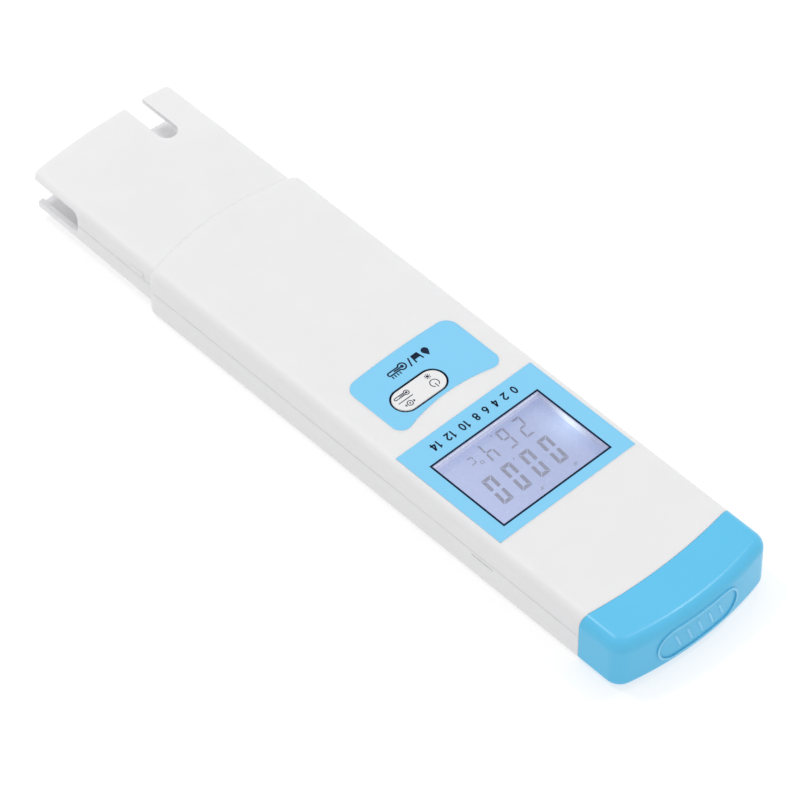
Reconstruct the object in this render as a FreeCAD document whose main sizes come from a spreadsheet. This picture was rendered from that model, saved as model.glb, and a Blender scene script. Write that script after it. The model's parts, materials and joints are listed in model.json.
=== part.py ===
"""A flat pocket pH test pen, built as separate pieces in one parametric document.

Frame: +Z comes out of the display face, +Y runs from the open sensor end to the battery cap,
+X is to the right when the display is read. Millimetres. The origin is the middle of the
resting back face: z = 0 is the back and y = 0 is half way along the whole pen.
"""
import FreeCAD, Part
import math
import os
import re
import Sketcher

V = FreeCAD.Vector
doc = FreeCAD.newDocument("ph_test_pen")
dims = doc.addObject("Spreadsheet::Sheet", "dims")

# Driving dimensions: name, value and what it is. Everything else is worked out from these.
DIMENSIONS = [
    # the outer form
    ("body_width", 41.4, "width of the body"),
    ("body_depth", 12.8, "thickness of the body"),
    ("half_length", 88.7, "half of the whole length"),
    ("parting_height", 7.2, "height of the joint between the two shells"),
    ("seam_gap", 0.05, "open seam between shells, and at the battery cap"),
    ("side_wall", 1.3, "wall at the sides and back"),
    ("front_wall", 1.6, "wall under the display face"),
    ("front_round", 2.8, "rounding of the front edges"),
    ("back_round", 1.6, "rounding of the back edges"),
    ("cap_corner", 3.7, "corner radius at the cap end, seen from the front"),
    ("cap_end_radius", 78.0, "radius of the bulged cap end"),
    ("ring_proud", 0.3, "height of the raised ring on the cap end"),
    ("ring_x", 0.9, "x of the raised ring's middle"),
    ("ring_height", 6.1, "height of the raised ring's middle"),
    ("ring_width", 22.0, "width of the raised ring"),
    ("ring_tall", 8.4, "height of the raised ring, top to bottom"),
    ("ring_band", 0.6, "width of the raised ring's band"),
    ("cap_seam", 76.7, "y of the cap seam on the middle line"),
    ("cap_seam_radius", 124.0, "radius of the cap seam, seen from the front"),
    ("shoulder", 53.3, "distance of the shoulder below the origin, on the middle line"),
    ("shoulder_radius", 67.0, "radius of the shoulder, seen from the front"),
    ("shoulder_corner", 2.4, "corner radius at the shoulder"),
    # the sensor guard
    ("guard_half_width", 19.55, "half width of the guard at the shoulder"),
    ("guard_tip_half_width", 19.3, "half width of the guard at its open end"),
    ("guard_front", 11.6, "height of the guard's front face"),
    ("guard_back", 1.4, "height of the guard's back face at the shoulder"),
    ("guard_tip_back", 2.3, "height of the guard's back face at its open end"),
    ("guard_end_radius", 150.0, "radius of the open end, seen from the front"),
    ("guard_back_short", 1.7, "how much shorter the back shell is at the open end"),
    ("guard_round", 2.2, "rounding of the guard's front edges"),
    ("slot_low", -11.8, "low x of the slot in the guard's front"),
    ("slot_high", -7.2, "high x of the slot in the guard's front"),
    ("slot_depth", 13.2, "length of the slot from the open end"),
    ("notch_floor", 4.85, "low edge of the side notches"),
    ("notch_top", 10.4, "high edge of the side notches"),
    ("notch_length", 15.5, "length of the side notches from the open end"),
    ("slit_low", 45.3, "low y of the slit for prying the shells apart"),
    ("slit_high", 51.2, "high y of the slit for prying the shells apart"),
    ("slit_depth", 0.2, "depth of the pry slit"),
    ("slit_floor", 1.2, "how far the pry slit's low side is below the seam"),
    ("slit_height", 0.35, "height of the pry slit"),
    ("notch_round", 1.5, "rounding at the inner end of the notches"),
    ("slot_floor", 8.2, "lowest height that the slot is cut from"),
    ("reach", 5.0, "how far cutting tools run past what they cut"),
    ("blank_overrun", 2.0, "how far the guard's blank runs past the open end"),
    ("blank_overlap", 6.0, "how far the guard's blank reaches into the body"),
    # inside the shells
    ("hollow_start", 3.6, "distance of the body's hollow from the shoulder"),
    ("hollow_round", 1.5, "rounding of the body's hollow and of the cap's plug"),
    ("guard_wall", 1.4, "wall at the guard's front"),
    ("guard_hollow_round", 1.2, "rounding of the guard's hollow"),
    ("boss_radius", 2.4, "radius of the screw posts"),
    ("pilot_radius", 1.0, "radius of the pilot holes in the screw posts"),
    ("pilot_length", 6.0, "length of the pilot holes, from the board's underside"),
    ("root", 0.4, "how far posts and brackets reach into the front wall"),
    ("bracket_reach", 5.4, "distance of the pin brackets' outer sides from the key's middle"),
    ("bracket_thick", 1.0, "thickness of the pin brackets"),
    ("bracket_half_width", 1.2, "half width of the pin brackets"),
    ("grip_radius", 0.45, "radius of the storage cap's grip ribs"),
    ("grip_sink", 0.15, "how far inside the guard's side the ribs' axes are"),
    ("grip_start", 2.9, "distance of the ribs' lower ends from the shoulder"),
    ("grip_length", 3.6, "length of the grip ribs"),
    ("grip_rise", 1.1, "height of the ribs' axes over the seam"),
    ("hook_thick", 0.9, "thickness of the snap tongues"),
    ("hook_half_length", 3.0, "half length of the snap tongues"),
    # printed films and the window
    ("film", 0.25, "thickness of the printed films"),
    ("label_half_width", 18.5, "half width of the display label"),
    ("label_low", 21.4, "low y of the display label"),
    ("label_high", 51.1, "high y of the display label"),
    ("view_x", 0.3, "x of the middle of the window"),
    ("view_y", 38.0, "y of the middle of the window"),
    ("view_width", 28.8, "width of the window"),
    ("view_height", 20.2, "height of the window"),
    ("lens", 0.75, "thickness of the clear window"),
    ("lens_lip", 0.35, "how far the clear window reaches under the label"),
    ("lens_play", 0.05, "clearance round the clear window"),
    ("window_play", 0.1, "how much wider the hole behind the window is, on each side"),
    ("opening_floor", 9.0, "height that the openings in the front wall are cut from"),
    ("keypad_left", -15.05, "low x of the keypad label"),
    ("keypad_right", 13.5, "high x of the keypad label"),
    ("keypad_low", 1.1, "y of the keypad label's lower corners"),
    ("keypad_high", 18.4, "y of the keypad label's upper corners"),
    ("keypad_bulge", 0.55, "how far the lower edge bulges out"),
    ("keypad_dent", 2.65, "how far the upper edge is dented in"),
    ("keypad_low_corner", 3.0, "radius of the keypad label's lower corners"),
    ("keypad_high_corner", 2.4, "radius of the keypad label's upper corners"),
    # the rocker key and its switches
    ("key_x", 2.85, "x of the key's middle"),
    ("key_y", 11.55, "y of the key's middle"),
    ("key_length", 13.1, "length of the key"),
    ("key_width", 5.7, "width of the key"),
    ("key_gap", 0.3, "gap round the key"),
    ("key_proud", 0.1, "how far the key stands out of the face"),
    ("key_floor", 10.2, "height of the key's underside"),
    ("key_round", 0.25, "rounding of the key's rim"),
    ("flange_top", 10.8, "height of the top of the key's hidden flange"),
    ("flange_margin", 0.8, "how far the flange reaches past the key all round"),
    ("key_post_radius", 1.1, "radius of the posts that press the switches"),
    ("key_post_gap", 0.1, "gap between a post and its resting switch"),
    ("lug_half_width", 1.0, "half width of the lug that holds the pin"),
    ("lug_half_length", 2.6, "half length of the lug that holds the pin"),
    ("lug_drop", 0.9, "how far the lug and the brackets reach below the pivot"),
    ("pivot_height", 9.7, "height of the key's pivot pin"),
    ("pivot_radius", 0.5, "radius of the pivot pin"),
    ("pin_length", 11.0, "length of the pivot pin"),
    ("switch_offset", 4.4, "distance of each switch from the pivot"),
    ("switch_top", 8.9, "height of a resting switch plunger"),
    ("switch_half", 2.6, "half width of a switch case"),
    ("switch_height", 2.0, "height of a switch case"),
    ("switch_floor", 0.6, "thickness of the floor under a plunger"),
    ("plunger_start", 1.2, "height of a resting plunger's foot over the board"),
    ("plunger_radius", 1.25, "radius of a plunger"),
    ("plunger_play", 0.1, "clearance round a plunger"),
    ("leg_length", 0.7, "length of a switch's legs"),
    ("leg_thick", 0.3, "thickness of a switch's legs"),
    ("leg_half_width", 2.0, "half width of a row of switch legs"),
    # the board
    ("board_low", -30.0, "y of the board's sensor end"),
    ("board_high", 50.4, "y of the board's cap end"),
    ("board_half_width", 17.6, "half width of the board"),
    ("board_floor", 4.0, "height of the board's underside"),
    ("board_thick", 1.6, "thickness of the board"),
    ("screw_x", 15.2, "x of the board screws"),
    ("screw_low", -26.5, "y of the lower board screws"),
    ("screw_high", 20.8, "y of the upper board screws"),
    ("screw_radius", 0.95, "radius of a screw's shank"),
    ("screw_grip", 3.6, "length of a screw's shank over the board"),
    ("screw_head_radius", 1.8, "radius of a screw's head"),
    ("screw_head", 1.3, "height of a screw's head"),
    ("drive_depth", 0.6, "depth of the slot in a screw's head"),
    ("board_hole_radius", 1.15, "radius of the screw holes in the board"),
    ("chip_lift", 0.2, "gap between a chip's case and the board"),
    ("socket_start", 1.2, "distance of the probe sockets from the board's sensor end"),
    ("socket_length", 4.0, "length of the probe sockets"),
    ("socket_height", 2.4, "height of the probe sockets"),
    # the display
    ("glass_width", 32.0, "width of the display glass"),
    ("glass_height", 24.0, "height of the display glass"),
    ("glass_back", 8.3, "height of the back of the display glass"),
    ("glass_front", 10.1, "height of the front of the display glass"),
    ("glass_ledge", 2.5, "width of the glass's ledge, where its contacts are"),
    ("glass_sheet", 0.9, "thickness of the glass's back sheet"),
    ("frame_wall", 1.4, "wall of the display frame at its left and right"),
    ("frame_end", 1.0, "wall of the display frame at its other two sides"),
    ("frame_play", 0.1, "clearance between the display frame and its neighbours"),
    ("frame_margin", 0.3, "how much wider the frame's opening is than the window"),
    # the battery
    ("cell_radius", 10.0, "radius of a coin cell"),
    ("cell_thick", 3.2, "thickness of a coin cell"),
    ("cell_y", 63.0, "y of the cells' axis"),
    ("cell_floor", 3.0, "height of the lower cell's underside"),
    ("plug_length", 7.2, "length of the cap's plug inside the body"),
    ("plug_gap", 0.2, "clearance round the plug"),
    ("plug_wall", 1.2, "wall of the plug"),
    ("plug_overlap", 2.0, "how far the plug reaches into the cap's end"),
    ("cap_hollow", 7.4, "distance of the end of the cap's hollow from the seam"),
    ("groove_far", 4.6, "distance of the seal groove's far side from the cap seam"),
    ("groove_near", 3.2, "distance of the seal groove's near side from the cap seam"),
    ("groove_depth", 0.6, "depth of the seal grooves"),
    ("cap_seal", 0.65, "thickness of the cap's seal"),
    ("seal_play", 0.1, "clearance beside the seals"),
    ("seal_round", 1.4, "rounding of the seals' corners"),
    ("button_height", 0.3, "height of a cell's negative button"),
    ("holder_floor", 1.4, "height of the battery cradle's underside"),
    ("holder_wall", 1.4, "wall of the battery cradle"),
    ("holder_reach", 5.4, "how far the cradle's arms reach past the cells' axis"),
    ("cell_play", 0.2, "clearance round the cells"),
    ("contact_x", 4.5, "distance of both battery contacts from the middle line"),
    ("contact_half_width", 1.5, "half width of the battery contacts"),
    ("strip", 0.3, "thickness of the battery contacts"),
    # the probe
    ("probe_height", 6.5, "height of the probe parts' axes"),
    ("glass_x", 3.0, "x of the glass electrode"),
    ("glass_radius", 2.3, "outer radius of the electrode's stem"),
    ("bulb_radius", 3.0, "outer radius of the glass bulb"),
    ("bulb_y", -68.4, "y of the bulb's middle"),
    ("glass_wall", 0.5, "wall of the electrode"),
    ("sleeve_x", -9.5, "x of the temperature sleeve"),
    ("sleeve_radius", 1.5, "outer radius of the temperature sleeve"),
    ("bulkhead_low", -56.0, "y of the bulkhead's wet face"),
    ("bulkhead_high", -50.0, "y of the bulkhead's dry face"),
    ("bulkhead_round", 1.2, "rounding of the bulkhead's edges"),
    ("bulkhead_seal", 0.7, "thickness of the bulkhead's seal"),
    ("bore_play", 0.05, "clearance round the probe parts in their bores"),
    ("chamber_low", 3.6, "height of the reference chamber's underside"),
    ("chamber_high", 9.4, "height of the reference chamber's top"),
    ("chamber_half_width", 7.0, "half width of the reference chamber"),
    ("chamber_length", 10.0, "length of the reference chamber"),
    ("junction_offset", 4.6, "distance of the junction from the electrode"),
    ("junction_radius", 0.85, "radius of the junction"),
    ("junction_length", 6.0, "length of the junction"),
    ("junction_proud", 0.3, "how far the junction stands out of the chamber"),
    ("core_radius", 0.35, "radius of the wire inside the electrode"),
    ("lead_radius", 0.7, "radius of the electrode's screened lead"),
    ("wire_radius", 0.3, "radius of the thermistor's wires"),
    ("wire_offset", 0.5, "distance of the thermistor's wires from the sleeve's axis"),
    ("sleeve_wall", 0.3, "wall of the temperature sleeve"),
    ("sleeve_tip", -71.0, "y of the sleeve's closed tip"),
    ("bead_low", -69.0, "y of the thermistor's tip"),
    ("bead_length", 3.2, "length of the thermistor"),
    ("bead_radius", 0.9, "radius of the thermistor"),
]
for row, (alias, amount, meaning) in enumerate(DIMENSIONS, start=1):
    dims.set(f"A{row}", meaning)
    dims.set(f"B{row}", str(amount))
    dims.setAlias(f"B{row}", alias)
doc.recompute()
ALIASES = {alias for alias, amount, meaning in DIMENSIONS}
AXES = {"x": V(1, 0, 0), "y": V(0, 1, 0), "z": V(0, 0, 1)}
nodes = []


# ------------------------------------------------------------------ helpers
def bind(text):
    """Write an expression of dimension names as one that reads the spreadsheet."""
    def swap(word):
        name = word.group(0)
        return f"dims.{name}" if name in ALIASES else name

    return re.sub(r"[A-Za-z_]\w*", swap, str(text))


def amount_of(text):
    """The present value of an expression of dimension names."""
    return float(dims.evalExpression(bind(text)))


def node(piece, label):
    """Name a finished piece: its Label is the name of its file."""
    piece.Label = label
    nodes.append(piece)
    return piece


def box(name, low, high):
    """A block between two corners, each given as three expressions."""
    block = doc.addObject("Part::Box", name)
    for axis, size, start, stop in zip("xyz", ("Length", "Width", "Height"), low, high):
        block.setExpression(size, bind(f"({stop}) - ({start})"))
        block.setExpression(f"Placement.Base.{axis}", bind(start))
    return block


def cylinder(name, axis, radius, centre, length):
    """A round bar that starts at centre and runs along +axis."""
    bar = doc.addObject("Part::Cylinder", name)
    bar.Placement.Rotation = FreeCAD.Rotation(V(0, 0, 1), AXES[axis])
    bar.setExpression("Radius", bind(radius))
    bar.setExpression("Height", bind(length))
    for letter, place in zip("xyz", centre):
        bar.setExpression(f"Placement.Base.{letter}", bind(place))
    return bar


def disc(name, radius, centre_y):
    """A tall upright cylinder on the middle line, which gives a face its curve in plan."""
    return cylinder(name, "z", radius, ("0", centre_y, "-reach"), "body_depth + 2 * reach")


def fuse(name, pieces):
    union = doc.addObject("Part::MultiFuse", name)
    union.Shapes = pieces
    union.Refine = True
    return union


def cut(name, base, tools):
    tool = tools[0] if len(tools) == 1 else fuse(name + "_tools", tools)
    rest = doc.addObject("Part::Cut", name)
    rest.Base = base
    rest.Tool = tool
    rest.Refine = True
    return rest


def common(name, pieces):
    shared = doc.addObject("Part::MultiCommon", name)
    shared.Shapes = pieces
    shared.Refine = True
    return shared


def round_edges(name, base, radius, chosen):
    """Round the edges of a Part object for which chosen(edge) is true."""
    doc.recompute()
    size = amount_of(radius)
    edges = enumerate(base.Shape.Edges, start=1)
    rounded = doc.addObject("Part::Fillet", name)
    rounded.Base = base
    rounded.Edges = [(number, size, size) for number, edge in edges if chosen(edge)]
    return rounded


def is_upright(edge):
    """True for a straight edge along Z."""
    box_of = edge.BoundBox
    return box_of.XLength < 1e-6 and box_of.YLength < 1e-6 and box_of.ZLength > 1e-3


def runs_along_y(edge):
    """True for a long edge that runs mainly along Y."""
    box_of = edge.BoundBox
    return box_of.YLength > 10 * max(box_of.XLength, box_of.ZLength) and box_of.YLength > 3


def is_exactly_along_y(edge):
    """True for any edge that runs exactly along Y."""
    box_of = edge.BoundBox
    return box_of.XLength < 1e-6 and box_of.ZLength < 1e-6


def at_height(edge, height):
    """True for an edge that lies flat at one height."""
    box_of = edge.BoundBox
    return abs(box_of.ZMin - height) < 1e-4 and abs(box_of.ZMax - height) < 1e-4


def new_body(label):
    body = doc.addObject("PartDesign::Body", label + "_body")
    return body


PLANES = {"XY": ("XY_Plane", 1), "XZ": ("XZ_Plane", -1)}


def sketch_on(body, name, plane, place):
    """A sketch on one of the body's own origin planes, moved along that plane's axis to place."""
    role, sense = PLANES[plane]
    sheet = body.newObject("Sketcher::SketchObject", name)
    origin_plane = [item for item in body.Origin.OriginFeatures if item.Role == role][0]
    sheet.AttachmentSupport = (origin_plane, "")
    sheet.MapMode = "FlatFace"
    sheet.setExpression("AttachmentOffset.Base.z", bind(f"{sense} * ({place})"))
    return sheet


def pin_point(sheet, line, end, across, up):
    """Fix one end of a line, or the middle of a circle, at two expressions."""
    for kind, place in (("DistanceX", across), ("DistanceY", up)):
        index = sheet.addConstraint(Sketcher.Constraint(kind, -1, 1, line, end, amount_of(place)))
        sheet.setExpression(f"Constraints[{index}]", bind(place))


def draw_rectangle(sheet, left, right, low, high):
    """A rectangle whose four sides stand at four expressions."""
    x0, x1, y0, y1 = (amount_of(place) for place in (left, right, low, high))
    corners = [V(x0, y0, 0), V(x1, y0, 0), V(x1, y1, 0), V(x0, y1, 0)]
    first = sheet.GeometryCount
    for start, stop in zip(corners, corners[1:] + corners[:1]):
        sheet.addGeometry(Part.LineSegment(start, stop))
    for side in range(4):
        following = first + (side + 1) % 4
        sheet.addConstraint(Sketcher.Constraint("Coincident", first + side, 2, following, 1))
        direction = "Horizontal" if side % 2 == 0 else "Vertical"
        sheet.addConstraint(Sketcher.Constraint(direction, first + side))
    pin_point(sheet, first, 1, left, low)
    pin_point(sheet, first + 1, 2, right, high)


def draw_circle(sheet, radius, across, up):
    """A circle whose radius and middle are three expressions."""
    middle = V(amount_of(across), amount_of(up), 0)
    index = sheet.addGeometry(Part.Circle(middle, V(0, 0, 1), amount_of(radius)))
    pin_point(sheet, index, 3, across, up)
    size = sheet.addConstraint(Sketcher.Constraint("Radius", index, amount_of(radius)))
    sheet.setExpression(f"Constraints[{size}]", bind(radius))


def draw_stadium(sheet, across, up, length, width):
    """A slot outline with round ends, lying along X."""
    x, y = amount_of(across), amount_of(up)
    radius = amount_of(width) / 2
    reach = amount_of(length) / 2 - radius
    first = sheet.GeometryCount
    sheet.addGeometry(Part.LineSegment(V(x - reach, y - radius, 0), V(x + reach, y - radius, 0)))
    sheet.addGeometry(Part.ArcOfCircle(
        Part.Circle(V(x + reach, y, 0), V(0, 0, 1), radius), -math.pi / 2, math.pi / 2))
    sheet.addGeometry(Part.LineSegment(V(x + reach, y + radius, 0), V(x - reach, y + radius, 0)))
    sheet.addGeometry(Part.ArcOfCircle(
        Part.Circle(V(x - reach, y, 0), V(0, 0, 1), radius), math.pi / 2, 3 * math.pi / 2))
    for part in range(4):
        following = first + (part + 1) % 4
        sheet.addConstraint(Sketcher.Constraint("Tangent", first + part, 2, following, 1))
    sheet.addConstraint(Sketcher.Constraint("Horizontal", first))
    pin_point(sheet, first + 1, 3, f"{across} + ({length} - ({width})) / 2", up)
    pin_point(sheet, first + 3, 3, f"{across} - ({length} - ({width})) / 2", up)
    size = sheet.addConstraint(Sketcher.Constraint("Radius", first + 1, radius))
    sheet.setExpression(f"Constraints[{size}]", bind(f"({width}) / 2"))


def pad(body, name, plane, low, high, draw, *sizes):
    """Add a prism of a drawn outline between two places along the plane's axis."""
    start = low if plane != "XZ" else high
    sheet = sketch_on(body, name + "_sketch", plane, start)
    draw(sheet, *sizes)
    prism = body.newObject("PartDesign::Pad", name)
    prism.Profile = sheet
    prism.setExpression("Length", bind(f"({high}) - ({low})"))
    doc.recompute()
    return prism


def pocket(body, name, plane, low, high, draw, *sizes):
    """Remove a prism of a drawn outline between two places along the plane's axis."""
    start = high if plane != "XZ" else low
    sheet = sketch_on(body, name + "_sketch", plane, start)
    draw(sheet, *sizes)
    volume = body.Shape.Volume
    hollow = body.newObject("PartDesign::Pocket", name)
    hollow.Profile = sheet
    hollow.setExpression("Length", bind(f"({high}) - ({low})"))
    doc.recompute()
    if body.Shape.Volume > volume - 1e-4:
        raise RuntimeError(f"{name} removes nothing from {body.Name}")
    return hollow


def soften(body, name, radius, chosen):
    """Round the edges of the body's last feature for which chosen(edge) is true."""
    doc.recompute()
    base = body.Tip
    picked = [f"Edge{i}" for i, edge in enumerate(base.Shape.Edges, start=1) if chosen(edge)]
    rounded = body.newObject("PartDesign::Fillet", name)
    rounded.Base = (base, picked)
    rounded.setExpression("Radius", bind(radius))
    doc.recompute()
    return rounded


def block_body(label, low, high):
    """A body that starts as a rectangular block between two corners."""
    body = new_body(label)
    pad(body, label + "_block", "XY", low[2], high[2], draw_rectangle,
        low[0], high[0], low[1], high[1])
    return body


def group(label, pieces):
    """Several loose identical solids kept as one node."""
    bundle = doc.addObject("Part::Compound", label + "_group")
    bundle.Links = pieces
    return node(bundle, label)


def make_ring_seal(label, across, up, along, thick):
    """A soft rectangular ring that lies in a groove round a plug."""
    outer = box(f"{label}_outer", (f"{across[0]} - {thick}", along[0], f"{up[0]} - {thick}"),
                (f"{across[1]} + {thick}", along[1], f"{up[1]} + {thick}"))
    outer = round_edges(f"{label}_edges", outer, "seal_round", is_exactly_along_y)
    core = box(f"{label}_core", (across[0], f"{along[0]} - reach", up[0]),
               (across[1], f"{along[1]} + reach", up[1]))
    return node(cut(f"{label}_ring", outer, [core]), label)


# ------------------------------------------------------------------ the outer form
def draw_plan(sheet):
    """The pen's outline from the front: straight sides, bulged shoulder and bulged cap end."""
    half = amount_of("body_width / 2")
    ends = {}
    for name, radius, tip, sense in (("cap", "cap_end_radius", "half_length - ring_proud", 1),
                                     ("shoulder", "shoulder_radius", "shoulder", -1)):
        size = amount_of(radius)
        middle = sense * (amount_of(tip) - size)
        lean = math.asin(half / size)
        ends[name] = (size, middle, lean, middle + sense * size * math.cos(lean))
    cap_radius, cap_middle, cap_lean, cap_side = ends["cap"]
    low_radius, low_middle, low_lean, low_side = ends["shoulder"]
    up = math.pi / 2
    sheet.addGeometry(Part.LineSegment(V(half, low_side, 0), V(half, cap_side, 0)))
    sheet.addGeometry(Part.ArcOfCircle(
        Part.Circle(V(0, cap_middle, 0), V(0, 0, 1), cap_radius), up - cap_lean, up + cap_lean))
    sheet.addGeometry(Part.LineSegment(V(-half, cap_side, 0), V(-half, low_side, 0)))
    sheet.addGeometry(Part.ArcOfCircle(
        Part.Circle(V(0, low_middle, 0), V(0, 0, 1), low_radius), -up - low_lean, -up + low_lean))
    for part in range(4):
        following = (part + 1) % 4
        sheet.addConstraint(Sketcher.Constraint("Coincident", part, 2, following, 1))
    sheet.addConstraint(Sketcher.Constraint("Vertical", 0))
    sheet.addConstraint(Sketcher.Constraint("Vertical", 2))
    pin_point(sheet, 1, 3, "0", "half_length - ring_proud - cap_end_radius")
    pin_point(sheet, 3, 3, "0", "shoulder_radius - shoulder")
    for part, radius in ((1, "cap_end_radius"), (3, "shoulder_radius")):
        size = sheet.addConstraint(Sketcher.Constraint("Radius", part, amount_of(radius)))
        sheet.setExpression(f"Constraints[{size}]", bind(radius))
    for part, place in ((0, "body_width / 2"), (2, "-body_width / 2")):
        index = sheet.addConstraint(
            Sketcher.Constraint("DistanceX", -1, 1, part, 1, amount_of(place)))
        sheet.setExpression(f"Constraints[{index}]", bind(place))


def make_envelope():
    """The rounded block that the shells and the battery cap are cut from."""
    body = new_body("envelope")
    pad(body, "envelope_block", "XY", "0", "body_depth", draw_plan)
    soften(body, "cap_corners", "cap_corner",
           lambda edge: is_upright(edge) and edge.BoundBox.YMin > 0)
    soften(body, "shoulder_corners", "shoulder_corner",
           lambda edge: is_upright(edge) and edge.BoundBox.YMin < 0 and len(edge.Vertexes) == 2
           and abs(abs(edge.BoundBox.XMin) - amount_of("body_width / 2")) < 0.01)
    soften(body, "front_edges", "front_round",
           lambda edge: at_height(edge, amount_of("body_depth")))
    soften(body, "back_edges", "back_round", lambda edge: at_height(edge, 0))
    return body


# ------------------------------------------------------------------ the two shells
def guard_wedge(name, inset, front, back, tip_back):
    """The tapered sensor guard, or its hollow: a block that narrows towards the open end."""
    wedge = doc.addObject("Part::Wedge", name)
    places = {"Ymin": "-half_length - blank_overrun", "Ymax": "-shoulder + blank_overlap",
              "Xmin": f"{inset} - guard_tip_half_width", "Xmax": f"guard_tip_half_width - {inset}",
              "X2min": f"{inset} - guard_half_width", "X2max": f"guard_half_width - {inset}",
              "Zmin": tip_back, "Zmax": front, "Z2min": back, "Z2max": front}
    for key, place in places.items():
        wedge.setExpression(key, bind(place))
    return wedge


def make_guard():
    """The outside of the guard, with its curved open end and rounded corners."""
    wedge = guard_wedge("guard_wedge", "0", "guard_front", "guard_back", "guard_tip_back")
    middle = amount_of("(guard_front + guard_back) / 2")
    rounded = round_edges("guard_front_edges", wedge, "guard_round",
                          lambda edge: runs_along_y(edge) and edge.BoundBox.ZMin > middle)
    rounded = round_edges("guard_back_edges", rounded, "back_round",
                          lambda edge: runs_along_y(edge) and edge.BoundBox.ZMax < middle)
    plan = common("guard_plan", [
        box("guard_plan_block", ("-guard_half_width", "-half_length - blank_overrun", "-reach"),
            ("guard_half_width", "-shoulder + blank_overlap", "body_depth")),
        disc("guard_end_disc", "guard_end_radius", "guard_end_radius - half_length")])
    shoulder_y = -amount_of("shoulder")
    plan = round_edges("guard_corners", plan, "guard_round",
                       lambda edge: is_upright(edge) and edge.BoundBox.YMax < shoulder_y)
    return common("guard", [rounded, plan])


def make_hollow():
    """Everything that is cut out of both shells: the body's inside and the guard's inside."""
    inner = "(body_width / 2 - side_wall)"
    body_hollow = box("body_hollow", (f"-{inner}", "-shoulder + hollow_start", "side_wall"),
                      (inner, "half_length", "body_depth - front_wall"))
    body_hollow = round_edges("body_hollow_edges", body_hollow, "hollow_round", runs_along_y)
    guard_hollow = guard_wedge("guard_hollow", "side_wall", "guard_front - guard_wall",
                               "guard_back + side_wall", "guard_tip_back + side_wall")
    guard_hollow = round_edges("guard_hollow_edges", guard_hollow, "guard_hollow_round",
                               runs_along_y)
    return [body_hollow, guard_hollow]


def draw_keypad_outline(sheet):
    """The keypad label: straight sides, a bulged lower edge and a dented upper edge."""
    left, right, low, high, bulge, dent = (amount_of(word) for word in (
        "keypad_left", "keypad_right", "keypad_low", "keypad_high",
        "keypad_bulge", "keypad_dent"))
    middle = (left + right) / 2
    sheet.addGeometry(Part.LineSegment(V(right, low, 0), V(right, high, 0)))
    sheet.addGeometry(Part.Arc(V(right, high, 0), V(middle, high - dent, 0), V(left, high, 0)))
    sheet.addGeometry(Part.LineSegment(V(left, high, 0), V(left, low, 0)))
    sheet.addGeometry(Part.Arc(V(left, low, 0), V(middle, low - bulge, 0), V(right, low, 0)))
    sheet.addConstraint(Sketcher.Constraint("Vertical", 0))
    sheet.addConstraint(Sketcher.Constraint("Vertical", 2))
    pin_point(sheet, 0, 1, "keypad_right", "keypad_low")
    pin_point(sheet, 2, 1, "keypad_left", "keypad_high")


def keypad_blank(name):
    """The keypad label's film before its key hole is cut, with rounded corners."""
    body = new_body(name)
    pad(body, name + "_film", "XY", "body_depth - film", "body_depth", draw_keypad_outline)
    split = amount_of("(keypad_low + keypad_high) / 2")
    soften(body, name + "_low_corners", "keypad_low_corner",
           lambda edge: is_upright(edge) and edge.BoundBox.YMax < split)
    soften(body, name + "_high_corners", "keypad_high_corner",
           lambda edge: is_upright(edge) and edge.BoundBox.YMax > split)
    return body


KEY_HOLE = ("key_x", "key_y", "key_length + 2 * key_gap", "key_width + 2 * key_gap")


def round_the_view(margin):
    """Low x, low y, high x and high y of the window with a margin added all round."""
    return (f"view_x - view_width / 2 - ({margin})", f"view_y - view_height / 2 - ({margin})",
            f"view_x + view_width / 2 + ({margin})", f"view_y + view_height / 2 + ({margin})")


def make_openings():
    """What is cut through the front wall: film recesses, the window and the key hole."""
    above = "body_depth + reach"
    label_recess = box("label_recess", ("-label_half_width", "label_low", "body_depth - film"),
                       ("label_half_width", "label_high", above))
    x0, y0, x1, y1 = round_the_view("lens_lip + lens_play")
    lens_seat = box("lens_seat", (x0, y0, "body_depth - film - lens"), (x1, y1, above))
    x0, y0, x1, y1 = round_the_view("window_play")
    window = box("window_hole", (x0, y0, "opening_floor"), (x1, y1, above))
    hole = new_body("key_hole")
    pad(hole, "key_hole_prism", "XY", "opening_floor", above, draw_stadium, *KEY_HOLE)
    return [label_recess, lens_seat, window, keypad_blank("keypad_recess"), hole]


def make_guard_cuts():
    """The slot in the guard's front and the rounded notches in its two sides."""
    radius = "((slot_high - slot_low) / 2)"
    turn = f"slot_depth - half_length - {radius}"
    slot = fuse("slot", [
        box("slot_block", ("slot_low", "-half_length - reach", "slot_floor"),
            ("slot_high", turn, "body_depth")),
        cylinder("slot_end", "z", radius, ("(slot_low + slot_high) / 2", turn, "slot_floor"),
                 "body_depth - slot_floor")])
    notch = box("notch_block", ("-body_width / 2 - reach", "-half_length - reach", "notch_floor"),
                ("body_width / 2 + reach", "notch_length - half_length", "notch_top"))
    width, tip = amount_of("body_width"), -amount_of("half_length")
    notch = round_edges("notch", notch, "notch_round",
                        lambda edge: edge.BoundBox.XLength > width and edge.BoundBox.YMin > tip)
    return [slot, notch]


def screw_places():
    """Name, x and y of each of the four board screws."""
    return [(f"{side}_{end}", x, y) for side, x in (("left", "-screw_x"), ("right", "screw_x"))
            for end, y in (("low", "screw_low"), ("high", "screw_high"))]


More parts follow.
